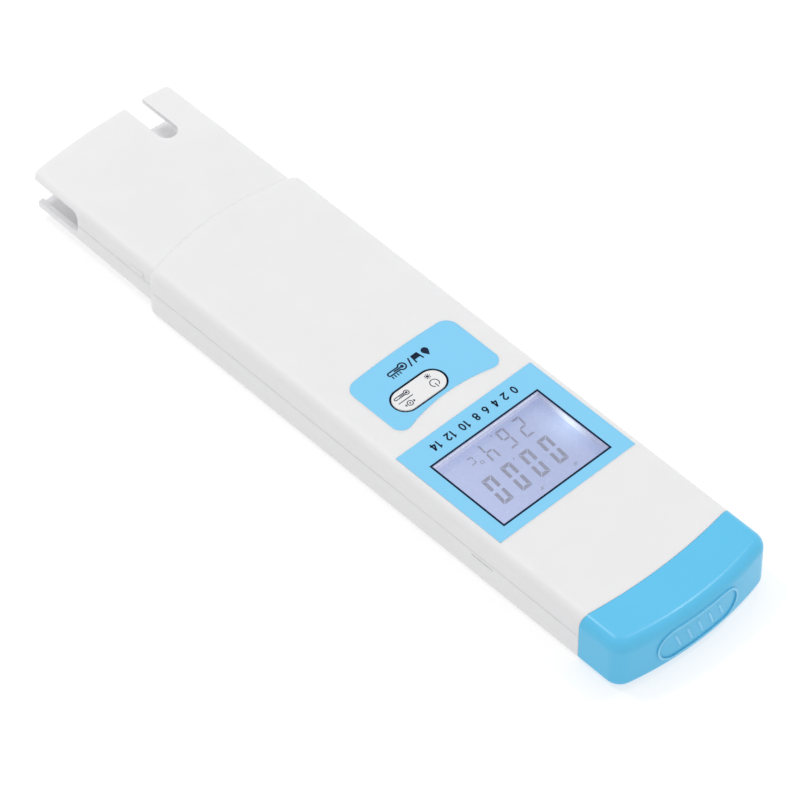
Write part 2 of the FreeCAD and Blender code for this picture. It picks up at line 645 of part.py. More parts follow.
def make_bosses():
    """Screw posts for the board and the two brackets that hold the key's pivot pin."""
    roof = "body_depth - front_wall + root"
    foot = "board_floor + board_thick"
    pieces = [cylinder(f"boss_{name}", "z", "boss_radius", (x, y, foot), f"{roof} - ({foot})")
              for name, x, y in screw_places()]
    for name, low in (("low", "key_y - bracket_reach"),
                      ("high", "key_y + bracket_reach - bracket_thick")):
        pieces.append(box(f"bracket_{name}",
                          ("key_x - bracket_half_width", low, "pivot_height - lug_drop"),
                          ("key_x + bracket_half_width", f"{low} + bracket_thick", roof)))
    return pieces


def make_boss_holes():
    """Pilot holes for the board screws and the hole for the key's pivot pin."""
    holes = [cylinder(f"pilot_{name}", "z", "pilot_radius", (x, y, "board_floor"),
                      "pilot_length") for name, x, y in screw_places()]
    holes.append(cylinder("pivot_hole", "y", "pivot_radius + 0.01",
                          ("key_x", "key_y - pin_length / 2 - 1", "pivot_height"),
                          "pin_length + 2"))
    return holes


def make_grips():
    """Small raised ribs on both sides of the guard that hold the storage cap."""
    ribs = []
    for name, x in (("left", "-guard_half_width + grip_sink"),
                    ("right", "guard_half_width - grip_sink")):
        ribs.append(cylinder(f"grip_{name}", "y", "grip_radius",
                             (x, "-shoulder - grip_start", "parting_height + grip_rise"),
                             "grip_length"))
    return ribs


HOOK_PLACES = (-36, -6, 56)      # y of each pair of snap tongues


def make_hooks(low, high):
    """Snap tongues inside both long walls of the back shell."""
    pieces = []
    inner = "(body_width / 2 - side_wall)"
    for number, y in enumerate(HOOK_PLACES, start=1):
        for side, start, stop in (("left", f"-{inner}", f"-{inner} + hook_thick"),
                                  ("right", f"{inner} - hook_thick", inner)):
            pieces.append(box(f"hook_{side}_{number}", (start, f"{y} - hook_half_length", low),
                              (stop, f"{y} + hook_half_length", high)))
    return pieces


def make_shells():
    envelope = make_envelope()
    body_outside = common("body_outside", [
        envelope, disc("seam_disc", "cap_seam_radius", "cap_seam - cap_seam_radius")])
    outside = fuse("shell_outside", [body_outside, make_guard()])
    slot, notch = make_guard_cuts()
    blank = cut("shell_blank", outside, make_hollow() + [notch])
    joint = "parting_height"
    end = "-half_length - reach"
    upper = box("upper_space", ("-body_width", end, f"{joint} + seam_gap / 2"),
                ("body_width", "half_length", "body_depth + reach"))
    lower = common("lower_space", [
        box("lower_block", ("-body_width", end, "-reach"),
            ("body_width", "half_length", f"{joint} - seam_gap / 2")),
        disc("back_end_disc", "guard_end_radius",
             "guard_end_radius - half_length + guard_back_short")])
    front = common("front_blank", [blank, upper])
    front = fuse("front_solid", [front] + make_bosses() + make_grips())
    front = cut("front_cut", front, [slot] + make_openings() + make_boss_holes())
    node(front, "front_shell")
    back = common("back_blank", [blank, lower])
    back = fuse("back_solid", [back] + make_hooks("side_wall + 2", "parting_height + 1.5"))
    slit_floor = "parting_height - slit_floor"
    slit = box("pry_slit", ("body_width / 2 - slit_depth", "slit_low", slit_floor),
               ("body_width / 2 + reach", "slit_high", f"{slit_floor} + slit_height"))
    node(cut("back_cut", back, [slit]), "back_shell")
    return envelope


# ------------------------------------------------------------------ films and window
def make_films():
    label = block_body("display_label", ("-label_half_width", "label_low", "body_depth - film"),
                       ("label_half_width", "label_high", "body_depth"))
    x0, y0, x1, y1 = round_the_view("0")
    pocket(label, "label_window", "XY", "body_depth - film", "body_depth", draw_rectangle,
           x0, x1, y0, y1)
    node(label, "display_label")
    x0, y0, x1, y1 = round_the_view("lens_lip")
    lens = block_body("display_window", (x0, y0, "body_depth - film - lens"),
                      (x1, y1, "body_depth - film"))
    node(lens, "display_window")
    keypad = keypad_blank("keypad_label")
    pocket(keypad, "keypad_key_hole", "XY", "body_depth - film", "body_depth", draw_stadium,
           *KEY_HOLE)
    node(keypad, "keypad_label")


# ------------------------------------------------------------------ rocker key and switches
def make_key():
    """A rocking key on a pivot pin, with one switch under each end."""
    key = new_body("rocker_key")
    top = "body_depth + key_proud"
    pad(key, "key_cap", "XY", "key_floor", top, draw_stadium, "key_x", "key_y",
        "key_length", "key_width")
    soften(key, "key_rim", "key_round", lambda edge: at_height(edge, amount_of(top)))
    pad(key, "key_flange", "XY", "key_floor", "flange_top", draw_stadium, "key_x", "key_y",
        "key_length + 2 * flange_margin", "key_width + 2 * flange_margin")
    for name, sign in (("low", "-"), ("high", "+")):
        pad(key, f"key_post_{name}", "XY", "switch_top + key_post_gap", "key_floor",
            draw_circle, "key_post_radius", f"key_x {sign} switch_offset", "key_y")
    lug_low, lug_high = "key_y - lug_half_length", "key_y + lug_half_length"
    pad(key, "key_lug", "XY", "pivot_height - lug_drop", "key_floor", draw_rectangle,
        "key_x - lug_half_width", "key_x + lug_half_width", lug_low, lug_high)
    pocket(key, "key_bore", "XZ", lug_low, lug_high, draw_circle,
           "pivot_radius + 0.05", "key_x", "pivot_height")
    node(key, "rocker_key")
    node(cylinder("pin", "y", "pivot_radius",
                  ("key_x", "key_y - pin_length / 2", "pivot_height"), "pin_length"),
         "key_pivot_pin")


def make_switches():
    """Two push switches: a square case with a round plunger in a bore."""
    deck = "board_floor + board_thick"
    low, high = "key_y - switch_half", "key_y + switch_half"
    for name, sign in (("power", "-"), ("cal", "+")):
        x = f"key_x {sign} switch_offset"
        case = block_body(f"{name}_switch_body", (f"{x} - switch_half", low, deck),
                          (f"{x} + switch_half", high, f"{deck} + switch_height"))
        pocket(case, f"{name}_switch_bore", "XY", f"{deck} + switch_floor",
               f"{deck} + switch_height", draw_circle, "plunger_radius + plunger_play",
               x, "key_y")
        for end, y in (("low", f"{low} - leg_length"), ("high", high)):
            pad(case, f"{name}_switch_legs_{end}", "XY", deck, f"{deck} + leg_thick",
                draw_rectangle, f"{x} - leg_half_width", f"{x} + leg_half_width",
                y, f"{y} + leg_length")
        node(case, f"{name}_switch_body")
        plunger = new_body(f"{name}_switch_plunger")
        pad(plunger, f"{name}_plunger", "XY", f"{deck} + plunger_start", "switch_top",
            draw_circle, "plunger_radius", x, "key_y")
        soften(plunger, f"{name}_plunger_top", "key_round",
               lambda edge: at_height(edge, amount_of("switch_top")))
        node(plunger, f"{name}_switch_plunger")


# ------------------------------------------------------------------ display
def make_display():
    """White frame, glass with its contact ledge, light guide, side light and rubber contact."""
    left, right = "view_x - glass_width / 2", "view_x + glass_width / 2"
    low, high = "view_y - glass_height / 2", "view_y + glass_height / 2"
    deck = "board_floor + board_thick"
    roof = "body_depth - front_wall - frame_play"
    frame = block_body("lcd_frame", (f"{left} - frame_wall", f"{low} - frame_end", deck),
                       (f"{right} + frame_wall", f"{high} + frame_end", roof))
    pocket(frame, "frame_inside", "XY", deck, "glass_front", draw_rectangle,
           f"{left} - frame_play", f"{right} + frame_play",
           f"{low} - frame_play", f"{high} + frame_play")
    x0, y0, x1, y1 = round_the_view("frame_margin")
    pocket(frame, "frame_view", "XY", "glass_front", roof, draw_rectangle, x0, x1, y0, y1)
    pocket(frame, "frame_light_seat", "XY", deck, f"{deck} + 2.4", draw_rectangle,
           f"{left} - 1.2", left, "view_y - 3", "view_y + 1")
    node(frame, "lcd_frame")
    glass = block_body("lcd_panel", (left, low, "glass_back"),
                       (right, f"{high} - glass_ledge", "glass_front"))
    pad(glass, "glass_front_sheet", "XY", "glass_back + glass_sheet", "glass_front",
        draw_rectangle, left, right, f"{high} - glass_ledge", high)
    node(glass, "lcd_panel")
    guide_floor = f"{deck} + 0.6"
    node(block_body("backlight_guide", (left, low, guide_floor),
                    (right, f"{high} - glass_ledge", "glass_back")), "backlight_guide")
    light = block_body("backlight_led", (f"{left} - 1.1", "view_y - 2.6", f"{deck} + 0.8"),
                       (f"{left} - frame_play", "view_y + 0.6", f"{deck} + 2.2"))
    node(light, "backlight_led")
    strip = block_body("zebra_strip", ("view_x - 14", f"{high} - 2.1", deck),
                       ("view_x + 14", f"{high} - 0.3", "glass_back + glass_sheet"))
    node(strip, "zebra_strip")


# ------------------------------------------------------------------ board and its parts
# Chips: name, x, y, width, length, height and the number of feet on each side.
CHIPS = (("microcontroller", -8.0, -3.0, 7.0, 7.0, 1.3, 8),
         ("amplifier_chip", 9.5, -14.0, 3.9, 5.0, 1.4, 4))
# The low corners of the chip capacitors, and their size.
CAPACITOR_CORNERS = ((1.5, -6), (1.5, -8.5), (4.5, -6), (4.5, -8.5),
                     (13.0, -4), (13.0, -6.5), (-14.5, 4.5), (-14.5, 7))
CAPACITOR_LENGTH, CAPACITOR_WIDTH = 1.6, 0.8


def make_chip(label, x, y, across, along, tall, pins):
    """A chip: a flat case with a row of feet on its two long sides."""
    foot_length, foot_sink, foot_top = 0.9, 0.1, 0.45
    deck = "board_floor + board_thick"
    case = box(f"{label}_case", (x - across / 2, y - along / 2, f"{deck} + chip_lift"),
               (x + across / 2, y + along / 2, f"{deck} + {tall}"))
    feet = [case]
    step = along / pins
    for number in range(pins):
        foot_y = y - along / 2 + step * (number + 0.5)
        for side, start in (("left", x - across / 2 + foot_sink - foot_length),
                            ("right", x + across / 2 - foot_sink)):
            feet.append(box(f"{label}_foot_{side}_{number}", (start, foot_y - step / 5, deck),
                            (start + foot_length, foot_y + step / 5, f"{deck} + {foot_top}")))
    node(fuse(f"{label}_chip", feet), label)


def make_board():
    board = block_body("main_board", ("-board_half_width", "board_low", "board_floor"),
                       ("board_half_width", "board_high", "board_floor + board_thick"))
    soften(board, "board_corners", "1.0", is_upright)
    for name, x, y in screw_places():
        pocket(board, f"board_hole_{name}", "XY", "board_floor", "board_floor + board_thick",
               draw_circle, "board_hole_radius", x, y)
    node(board, "main_board")
    deck = "board_floor + board_thick"
    for chip in CHIPS:
        make_chip(*chip)
    node(block_body("wireless_board", ("-14", "-24", deck), ("-2", "-10", f"{deck} + 0.8")),
         "wireless_board")
    shield = block_body("wireless_shield", ("-13", "-20.5", f"{deck} + 0.8"),
                        ("-3", "-11", f"{deck} + 2.6"))
    soften(shield, "shield_edges", "0.4",
           lambda edge: is_upright(edge) or at_height(edge, amount_of(f"{deck} + 2.6")))
    node(shield, "wireless_shield")
    crystal = block_body("crystal", ("-12", "4.5", deck), ("-7", "7.7", f"{deck} + 1.1"))
    soften(crystal, "crystal_edges", "0.4", is_upright)
    node(crystal, "crystal")
    capacitors = []
    for number, (x, y) in enumerate(CAPACITOR_CORNERS):
        capacitors.append(box(f"capacitor_{number}", (x, y, deck),
                              (x + CAPACITOR_LENGTH, y + CAPACITOR_WIDTH,
                               f"{deck} + {CAPACITOR_WIDTH}")))
    group("chip_capacitors", capacitors)
    sockets = []
    for name, x, width in (("glass", "glass_x", "6"), ("sleeve", "sleeve_x", "4.4")):
        start = "board_low + socket_start"
        socket = block_body(f"{name}_socket", (f"{x} - {width} / 2", start, deck),
                            (f"{x} + {width} / 2", f"{start} + socket_length",
                             f"{deck} + socket_height"))
        sockets.append(socket)
    group("probe_sockets", sockets)
    screws = []
    head = "board_floor - screw_head"
    for name, x, y in screw_places():
        screw = new_body(f"screw_{name}")
        pad(screw, f"screw_shank_{name}", "XY", "board_floor", f"{deck} + screw_grip",
            draw_circle, "screw_radius", x, y)
        pad(screw, f"screw_head_{name}", "XY", head, "board_floor", draw_circle,
            "screw_head_radius", x, y)
        soften(screw, f"screw_edge_{name}", "0.4",
               lambda edge: at_height(edge, amount_of(head)))
        pocket(screw, f"screw_drive_{name}", "XY", head, f"{head} + drive_depth",
               draw_rectangle, f"{x} - 1", f"{x} + 1", f"{y} - 0.2", f"{y} + 0.2")
        screws.append(screw)
    group("board_screws", screws)


# ------------------------------------------------------------------ battery
def make_battery():
    """Two stacked coin cells in a cradle that is open towards the cap, and their contacts."""
    top = "cell_floor + 2 * cell_thick"
    for number, name in enumerate(("lower", "upper")):
        floor = f"cell_floor + {number} * cell_thick"
        cell = new_body(f"coin_cell_{name}")
        pad(cell, f"{name}_button", "XY", floor, f"{floor} + button_height", draw_circle,
            "cell_radius - 1.2", "0", "cell_y")
        pad(cell, f"{name}_can", "XY", f"{floor} + button_height", f"{floor} + cell_thick",
            draw_circle, "cell_radius", "0", "cell_y")
        soften(cell, f"{name}_can_edges", "0.4",
               lambda edge: at_height(edge, amount_of(f"{floor} + cell_thick")))
        node(cell, f"coin_cell_{name}")
    inner = "(cell_radius + cell_play)"
    low = "board_high + 1.2"
    deck, roof = "cell_floor - strip", f"{top} + 0.1"
    mouth = "cell_y + holder_reach"
    holder = block_body("battery_holder", (f"-{inner} - holder_wall", low, "holder_floor"),
                        (f"{inner} + holder_wall", mouth, roof))
    pocket(holder, "holder_round", "XY", deck, roof, draw_circle, inner, "0", "cell_y")
    pocket(holder, "holder_mouth", "XY", deck, roof, draw_rectangle, f"-{inner}", inner,
           "cell_y", mouth)
    slit = "(contact_half_width + cell_play)"
    for name, x in (("negative", "-contact_x"), ("positive", "contact_x")):
        pocket(holder, f"holder_slit_{name}", "XY", "holder_floor", roof, draw_rectangle,
               f"{x} - {slit}", f"{x} + {slit}", low, f"{low} + 0.5")
    pocket(holder, "holder_slit_floor", "XY", f"{deck} - 0.4", deck, draw_rectangle,
           f"-contact_x - {slit}", f"-contact_x + {slit}", low, "cell_y + 1")
    node(holder, "battery_holder")
    foot = "board_high - 1.4"
    x0, x1 = "-contact_x - contact_half_width", "-contact_x + contact_half_width"
    leaf, bend = "cell_floor - 0.65", "board_high + 1.3"
    negative = fuse("negative_strip", [
        box("negative_leaf", (x0, bend, leaf), (x1, "cell_y", f"{leaf} + strip")),
        box("negative_tail", (x0, f"{bend} - strip", leaf), (x1, bend, "board_floor")),
        box("negative_foot", (x0, foot, "board_floor - strip"), (x1, bend, "board_floor")),
        cylinder("negative_dimple", "z", "1.1", ("-contact_x", "cell_y - 2",
                                                 f"{leaf} + strip - 0.01"), "strip + 0.04")])
    node(negative, "battery_contact_negative")
    x0, x1 = "contact_x - contact_half_width", "contact_x + contact_half_width"
    leaf, bend = f"{top} + 0.15", "board_high + 0.9"
    positive = fuse("positive_strip", [
        box("positive_leaf", (x0, bend, leaf), (x1, "cell_y + 1", f"{leaf} + strip")),
        box("positive_tail", (x0, bend, "board_floor - strip"),
            (x1, f"{bend} + strip", f"{leaf} + strip")),
        box("positive_foot", (x0, foot, "board_floor - strip"),
            (x1, f"{bend} + strip", "board_floor"))])
    node(positive, "battery_contact_positive")


def draw_ring_outline(sheet, width, tall):
    draw_stadium(sheet, "ring_x", "ring_height", width, tall)


def make_cap(envelope):
    """The blue cap: a hollow end with a thin-walled plug that fits inside the body."""
    seam = disc("cap_seam_disc", "cap_seam_radius", "cap_seam - cap_seam_radius + seam_gap")
    space = box("cap_space", ("-body_width", "cap_seam - 2 * reach", "-reach"),
                ("body_width", "half_length + reach", "body_depth + reach"))
    outside = common("cap_outside", [envelope, cut("cap_side", space, [seam])])
    inner = "(body_width / 2 - side_wall - plug_gap)"
    plug = box("plug_block", (f"-{inner}", "cap_seam - plug_length", "side_wall + plug_gap"),
               (inner, "cap_seam + plug_overlap", "body_depth - front_wall - plug_gap"))
    plug = round_edges("plug_edges", plug, "hollow_round", runs_along_y)
    hollow = box("cap_hollow",
                 (f"plug_wall - {inner}", "cap_seam - plug_length - reach",
                  "side_wall + plug_gap + plug_wall"),
                 (f"{inner} - plug_wall", "cap_seam + cap_hollow",
                  "body_depth - front_wall - plug_gap - plug_wall"))
    hollow = round_edges("cap_hollow_edges", hollow, "plug_wall", runs_along_y)
    groove_low, groove_high = "cap_seam - groove_far", "cap_seam - groove_near"
    across = (f"groove_depth - {inner}", f"{inner} - groove_depth")
    up = ("side_wall + plug_gap + groove_depth", "body_depth - front_wall - plug_gap - groove_depth")
    groove = cut("groove", box("groove_outside", ("-body_width", groove_low, "0"),
                               ("body_width", groove_high, "body_depth")), [
        box("groove_core", (across[0], f"{groove_low} - reach", up[0]),
            (across[1], f"{groove_high} + reach", up[1]))])
    shifted = doc.addObject("Part::Feature", "shifted_envelope")
    shifted.Shape = envelope.Shape.copy()
    shifted.Placement.Base = V(0, amount_of("ring_proud"), 0)
    ring = new_body("ring")
    pad(ring, "ring_prism", "XZ", "cap_seam", "half_length + reach", draw_ring_outline,
        "ring_width", "ring_tall")
    pocket(ring, "ring_middle", "XZ", "cap_seam", "half_length + reach", draw_ring_outline,
           "ring_width - 2 * ring_band", "ring_tall - 2 * ring_band")
    raised = common("raised_ring", [ring, shifted])
    solid = fuse("cap_solid", [outside, plug, raised])
    node(cut("cap_shape", solid, [hollow, groove]), "battery_cap")
    make_ring_seal("battery_cap_seal", across, up,
                   (f"{groove_low} + seal_play", f"{groove_high} - seal_play"), "cap_seal")


# ------------------------------------------------------------------ probe
def make_probe():
    """Bulkhead, glass electrode, its reference chamber and the temperature sleeve."""
    half = "(guard_half_width - side_wall - 0.25)"
    floor, roof = "guard_back + side_wall + 0.3", "guard_front - 1.6"
    bulkhead = block_body("probe_bulkhead", (f"-{half}", "bulkhead_low", floor),
                          (half, "bulkhead_high", roof))
    soften(bulkhead, "bulkhead_edges", "bulkhead_round", is_exactly_along_y)
    groove = ("bulkhead_low + 2.2", "bulkhead_low + 3.8")
    for side, left, right, low, high in (
            ("left", f"-{half}", f"-{half} + groove_depth", floor, roof),
            ("right", f"{half} - groove_depth", half, floor, roof),
            ("under", f"-{half}", half, floor, f"{floor} + groove_depth"),
            ("over", f"-{half}", half, f"{roof} - groove_depth", roof)):
        pocket(bulkhead, f"bulkhead_groove_{side}", "XZ", groove[0], groove[1], draw_rectangle,
               left, right, low, high)
    pocket(bulkhead, "bulkhead_glass_bore", "XZ", "bulkhead_low", "bulkhead_high", draw_circle,
           "glass_radius + bore_play", "glass_x", "probe_height")
    pocket(bulkhead, "bulkhead_sleeve_bore", "XZ", "bulkhead_low", "bulkhead_high",
           draw_circle, "sleeve_radius + bore_play", "sleeve_x", "probe_height")
    node(bulkhead, "probe_bulkhead")
    make_ring_seal("bulkhead_seal", (f"-{half} + groove_depth", f"{half} - groove_depth"),
                   (f"{floor} + groove_depth", f"{roof} - groove_depth"),
                   (f"{groove[0]} + seal_play", f"{groove[1]} - seal_play"), "bulkhead_seal")
    chamber_start = "bulkhead_low - chamber_length"
    chamber = block_body("reference_chamber",
                         ("glass_x - chamber_half_width", chamber_start, "chamber_low"),
                         ("glass_x + chamber_half_width", "bulkhead_low", "chamber_high"))
    soften(chamber, "chamber_edges", "2.0", is_exactly_along_y)
    pocket(chamber, "chamber_glass_bore", "XZ", chamber_start, "bulkhead_low",
           draw_circle, "glass_radius + bore_play", "glass_x", "probe_height")
    junction_x = "glass_x + junction_offset"
    pocket(chamber, "chamber_junction_bore", "XZ", chamber_start, "bulkhead_low - 3",
           draw_circle, "junction_radius + bore_play", junction_x, "probe_height")
    node(chamber, "reference_chamber")
    node(cylinder("junction", "y", "junction_radius",
                  (junction_x, f"{chamber_start} - junction_proud", "probe_height"),
                  "junction_length"), "reference_junction")
    make_glass()
    make_sleeve()
    node(cylinder("core", "y", "core_radius", ("glass_x", "bulb_y", "probe_height"),
                  "bulkhead_high + 2.5 - bulb_y"), "electrode_core")
    node(cylinder("bead", "y", "bead_radius", ("sleeve_x", "bead_low", "probe_height"),
                  "bead_length"), "thermistor")
    lead_start, lead_end = "bulkhead_high + 3.2", "board_low + socket_start"
    node(cylinder("coaxial", "y", "lead_radius", ("glass_x", lead_start, "probe_height"),
                  f"{lead_end} - ({lead_start})"), "electrode_lead")
    wire_start = "bead_low + bead_length"
    wires = [cylinder(f"wire_{name}", "y", "wire_radius",
                      (f"sleeve_x {sign} wire_offset", wire_start, "probe_height"),
                      f"{lead_end} - ({wire_start})")
             for name, sign in (("left", "-"), ("right", "+"))]
    group("thermistor_leads", wires)


def spun_body(label, x, profile):
    """A round body about an axis along Y: profile is a closed chain of edges at radius, y."""
    piece = doc.addObject("Part::Feature", label + "_shape")
    face = Part.Face(Part.Wire(profile))
    piece.Shape = face.revolve(V(0, 0, 0), V(0, 1, 0), 360)
    piece.setExpression("Placement.Base.x", bind(x))
    piece.setExpression("Placement.Base.z", bind("probe_height"))
    return node(piece, label)


def make_glass():
    """A thin glass stem that ends in a round bulb, hollow inside."""
    middle, end = amount_of("bulb_y"), amount_of("bulkhead_high + 3")
    stem, bulb, wall = (amount_of(word) for word in ("glass_radius", "bulb_radius", "glass_wall"))

    # Two points on the way round the ball, as angles from its widest circle.
    above, below = 0.3, 0.8

    def points(radius, ball, tip):
        neck = middle + math.sqrt(ball * ball - radius * radius)
        side = V(ball * math.cos(above), middle + ball * math.sin(above), 0)
        return V(0, tip, 0), V(ball, middle, 0), side, V(radius, neck, 0)

    outer_tip, outer_side, outer_bend, outer_neck = points(stem, bulb, middle - bulb)
    inner_tip, inner_side, inner_bend, inner_neck = points(stem - wall, bulb - wall,
                                                           middle - bulb + wall)
    low_outer = V(bulb * math.sin(below), middle - bulb * math.cos(below), 0)
    thin = bulb - wall
    low_inner = V(thin * math.sin(below), middle - thin * math.cos(below), 0)
    profile = [
        Part.Arc(outer_tip, low_outer, outer_side).toShape(),
        Part.Arc(outer_side, outer_bend, outer_neck).toShape(),
        Part.LineSegment(outer_neck, V(stem, end, 0)).toShape(),
        Part.LineSegment(V(stem, end, 0), V(stem - wall, end, 0)).toShape(),
        Part.LineSegment(V(stem - wall, end, 0), inner_neck).toShape(),
        Part.Arc(inner_neck, inner_bend, inner_side).toShape(),
        Part.Arc(inner_side, low_inner, inner_tip).toShape(),
        Part.LineSegment(inner_tip, outer_tip).toShape()]
    return spun_body("glass_electrode", "glass_x", profile)


def make_sleeve():
    """A closed metal tube with a round tip that holds the temperature sensor."""
    outer = amount_of("sleeve_radius")
    inner = outer - amount_of("sleeve_wall")
    tip, end = amount_of("sleeve_tip"), amount_of("bulkhead_high + 2")
    half = math.sqrt(0.5)
    profile = [
        Part.Arc(V(0, tip, 0), V(outer * half, tip + outer - outer * half, 0),
                 V(outer, tip + outer, 0)).toShape(),
        Part.LineSegment(V(outer, tip + outer, 0), V(outer, end, 0)).toShape(),
        Part.LineSegment(V(outer, end, 0), V(inner, end, 0)).toShape(),
        Part.LineSegment(V(inner, end, 0), V(inner, tip + outer, 0)).toShape(),
        Part.Arc(V(inner, tip + outer, 0), V(inner * half, tip + outer - inner * half, 0),
                 V(0, tip + outer - inner, 0)).toShape(),
        Part.LineSegment(V(0, tip + outer - inner, 0), V(0, tip, 0)).toShape()]
    return spun_body("temperature_sleeve", "sleeve_x", profile)


# ------------------------------------------------------------------ checks and export
def check_and_export():
    doc.recompute()
    for item in doc.Objects:
        if "Invalid" in item.State or "Error" in item.State:
            raise RuntimeError(f"{item.Name} failed: {item.State}")
    os.makedirs("parts", exist_ok=True)
    for piece in nodes:
        shape = piece.Shape
        if shape.isNull() or not shape.isValid() or not shape.Solids:
            raise RuntimeError(f"{piece.Label} is not a valid solid")
        shape.exportStep(f"parts/{piece.Label}.step")
    print(f"{len(nodes)} nodes written")


pen_envelope = make_shells()
make_cap(pen_envelope)
make_films()
make_key()
make_switches()
make_display()
make_board()
make_battery()
make_probe()
check_and_export()
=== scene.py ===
"""The looks of a flat pocket pH test pen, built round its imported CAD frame.

Metres, in the frame's own axes: +Z comes out of the display face, +Y runs to the battery
cap and +X is to the right when the display is read.
"""
import json
import math
import bmesh
import bpy
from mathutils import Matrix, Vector
from mathutils.bvhtree import BVHTree


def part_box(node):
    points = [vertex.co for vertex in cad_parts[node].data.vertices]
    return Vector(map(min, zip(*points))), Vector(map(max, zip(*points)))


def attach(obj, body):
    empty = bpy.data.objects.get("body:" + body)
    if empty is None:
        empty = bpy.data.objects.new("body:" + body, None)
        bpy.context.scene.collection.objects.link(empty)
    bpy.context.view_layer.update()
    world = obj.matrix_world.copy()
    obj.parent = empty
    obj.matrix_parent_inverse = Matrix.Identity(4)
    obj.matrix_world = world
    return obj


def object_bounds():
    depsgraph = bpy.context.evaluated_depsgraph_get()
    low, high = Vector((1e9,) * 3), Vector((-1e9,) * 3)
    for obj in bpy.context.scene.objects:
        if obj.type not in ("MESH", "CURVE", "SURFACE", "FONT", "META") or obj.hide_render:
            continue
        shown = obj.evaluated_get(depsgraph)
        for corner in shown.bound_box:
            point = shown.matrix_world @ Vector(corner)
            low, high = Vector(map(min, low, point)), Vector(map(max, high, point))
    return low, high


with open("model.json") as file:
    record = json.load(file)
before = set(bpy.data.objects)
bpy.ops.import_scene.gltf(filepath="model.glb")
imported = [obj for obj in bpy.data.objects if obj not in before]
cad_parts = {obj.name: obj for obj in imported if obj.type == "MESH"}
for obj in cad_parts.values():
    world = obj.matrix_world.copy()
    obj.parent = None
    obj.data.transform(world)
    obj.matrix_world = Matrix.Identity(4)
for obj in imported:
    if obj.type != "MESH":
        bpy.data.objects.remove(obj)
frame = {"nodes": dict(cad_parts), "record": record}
cad_low, cad_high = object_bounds()
nodes = frame["nodes"]

MM = 0.001
INK_RISE = 0.018 * MM      # how far printed ink stands out of its surface
INK_SINK = 0.010 * MM      # how far it reaches into the surface, so that no gap shows
WINDOW_LIP = 0.35 * MM     # how far the clear window reaches under the display label
KEY_LENGTH = 13.1 * MM     # the key's outline at its face, and the gap round it
KEY_WIDTH = 5.7 * MM
KEY_GAP = 0.3 * MM


# ------------------------------------------------------------------ colours and node trees
def display_colour(red, green, blue):
    """A colour given as 0 to 255 display values, as linear red, green, blue and alpha."""
    def linear(value):
        share = value / 255
        return share / 12.92 if share <= 0.04045 else ((share + 0.055) / 1.055) ** 2.4
    return linear(red), linear(green), linear(blue), 1.0


def scaled(colour, factor):
    """The same colour, brighter or darker."""
    return (*(min(part * factor, 1.0) for part in colour[:3]), 1.0)


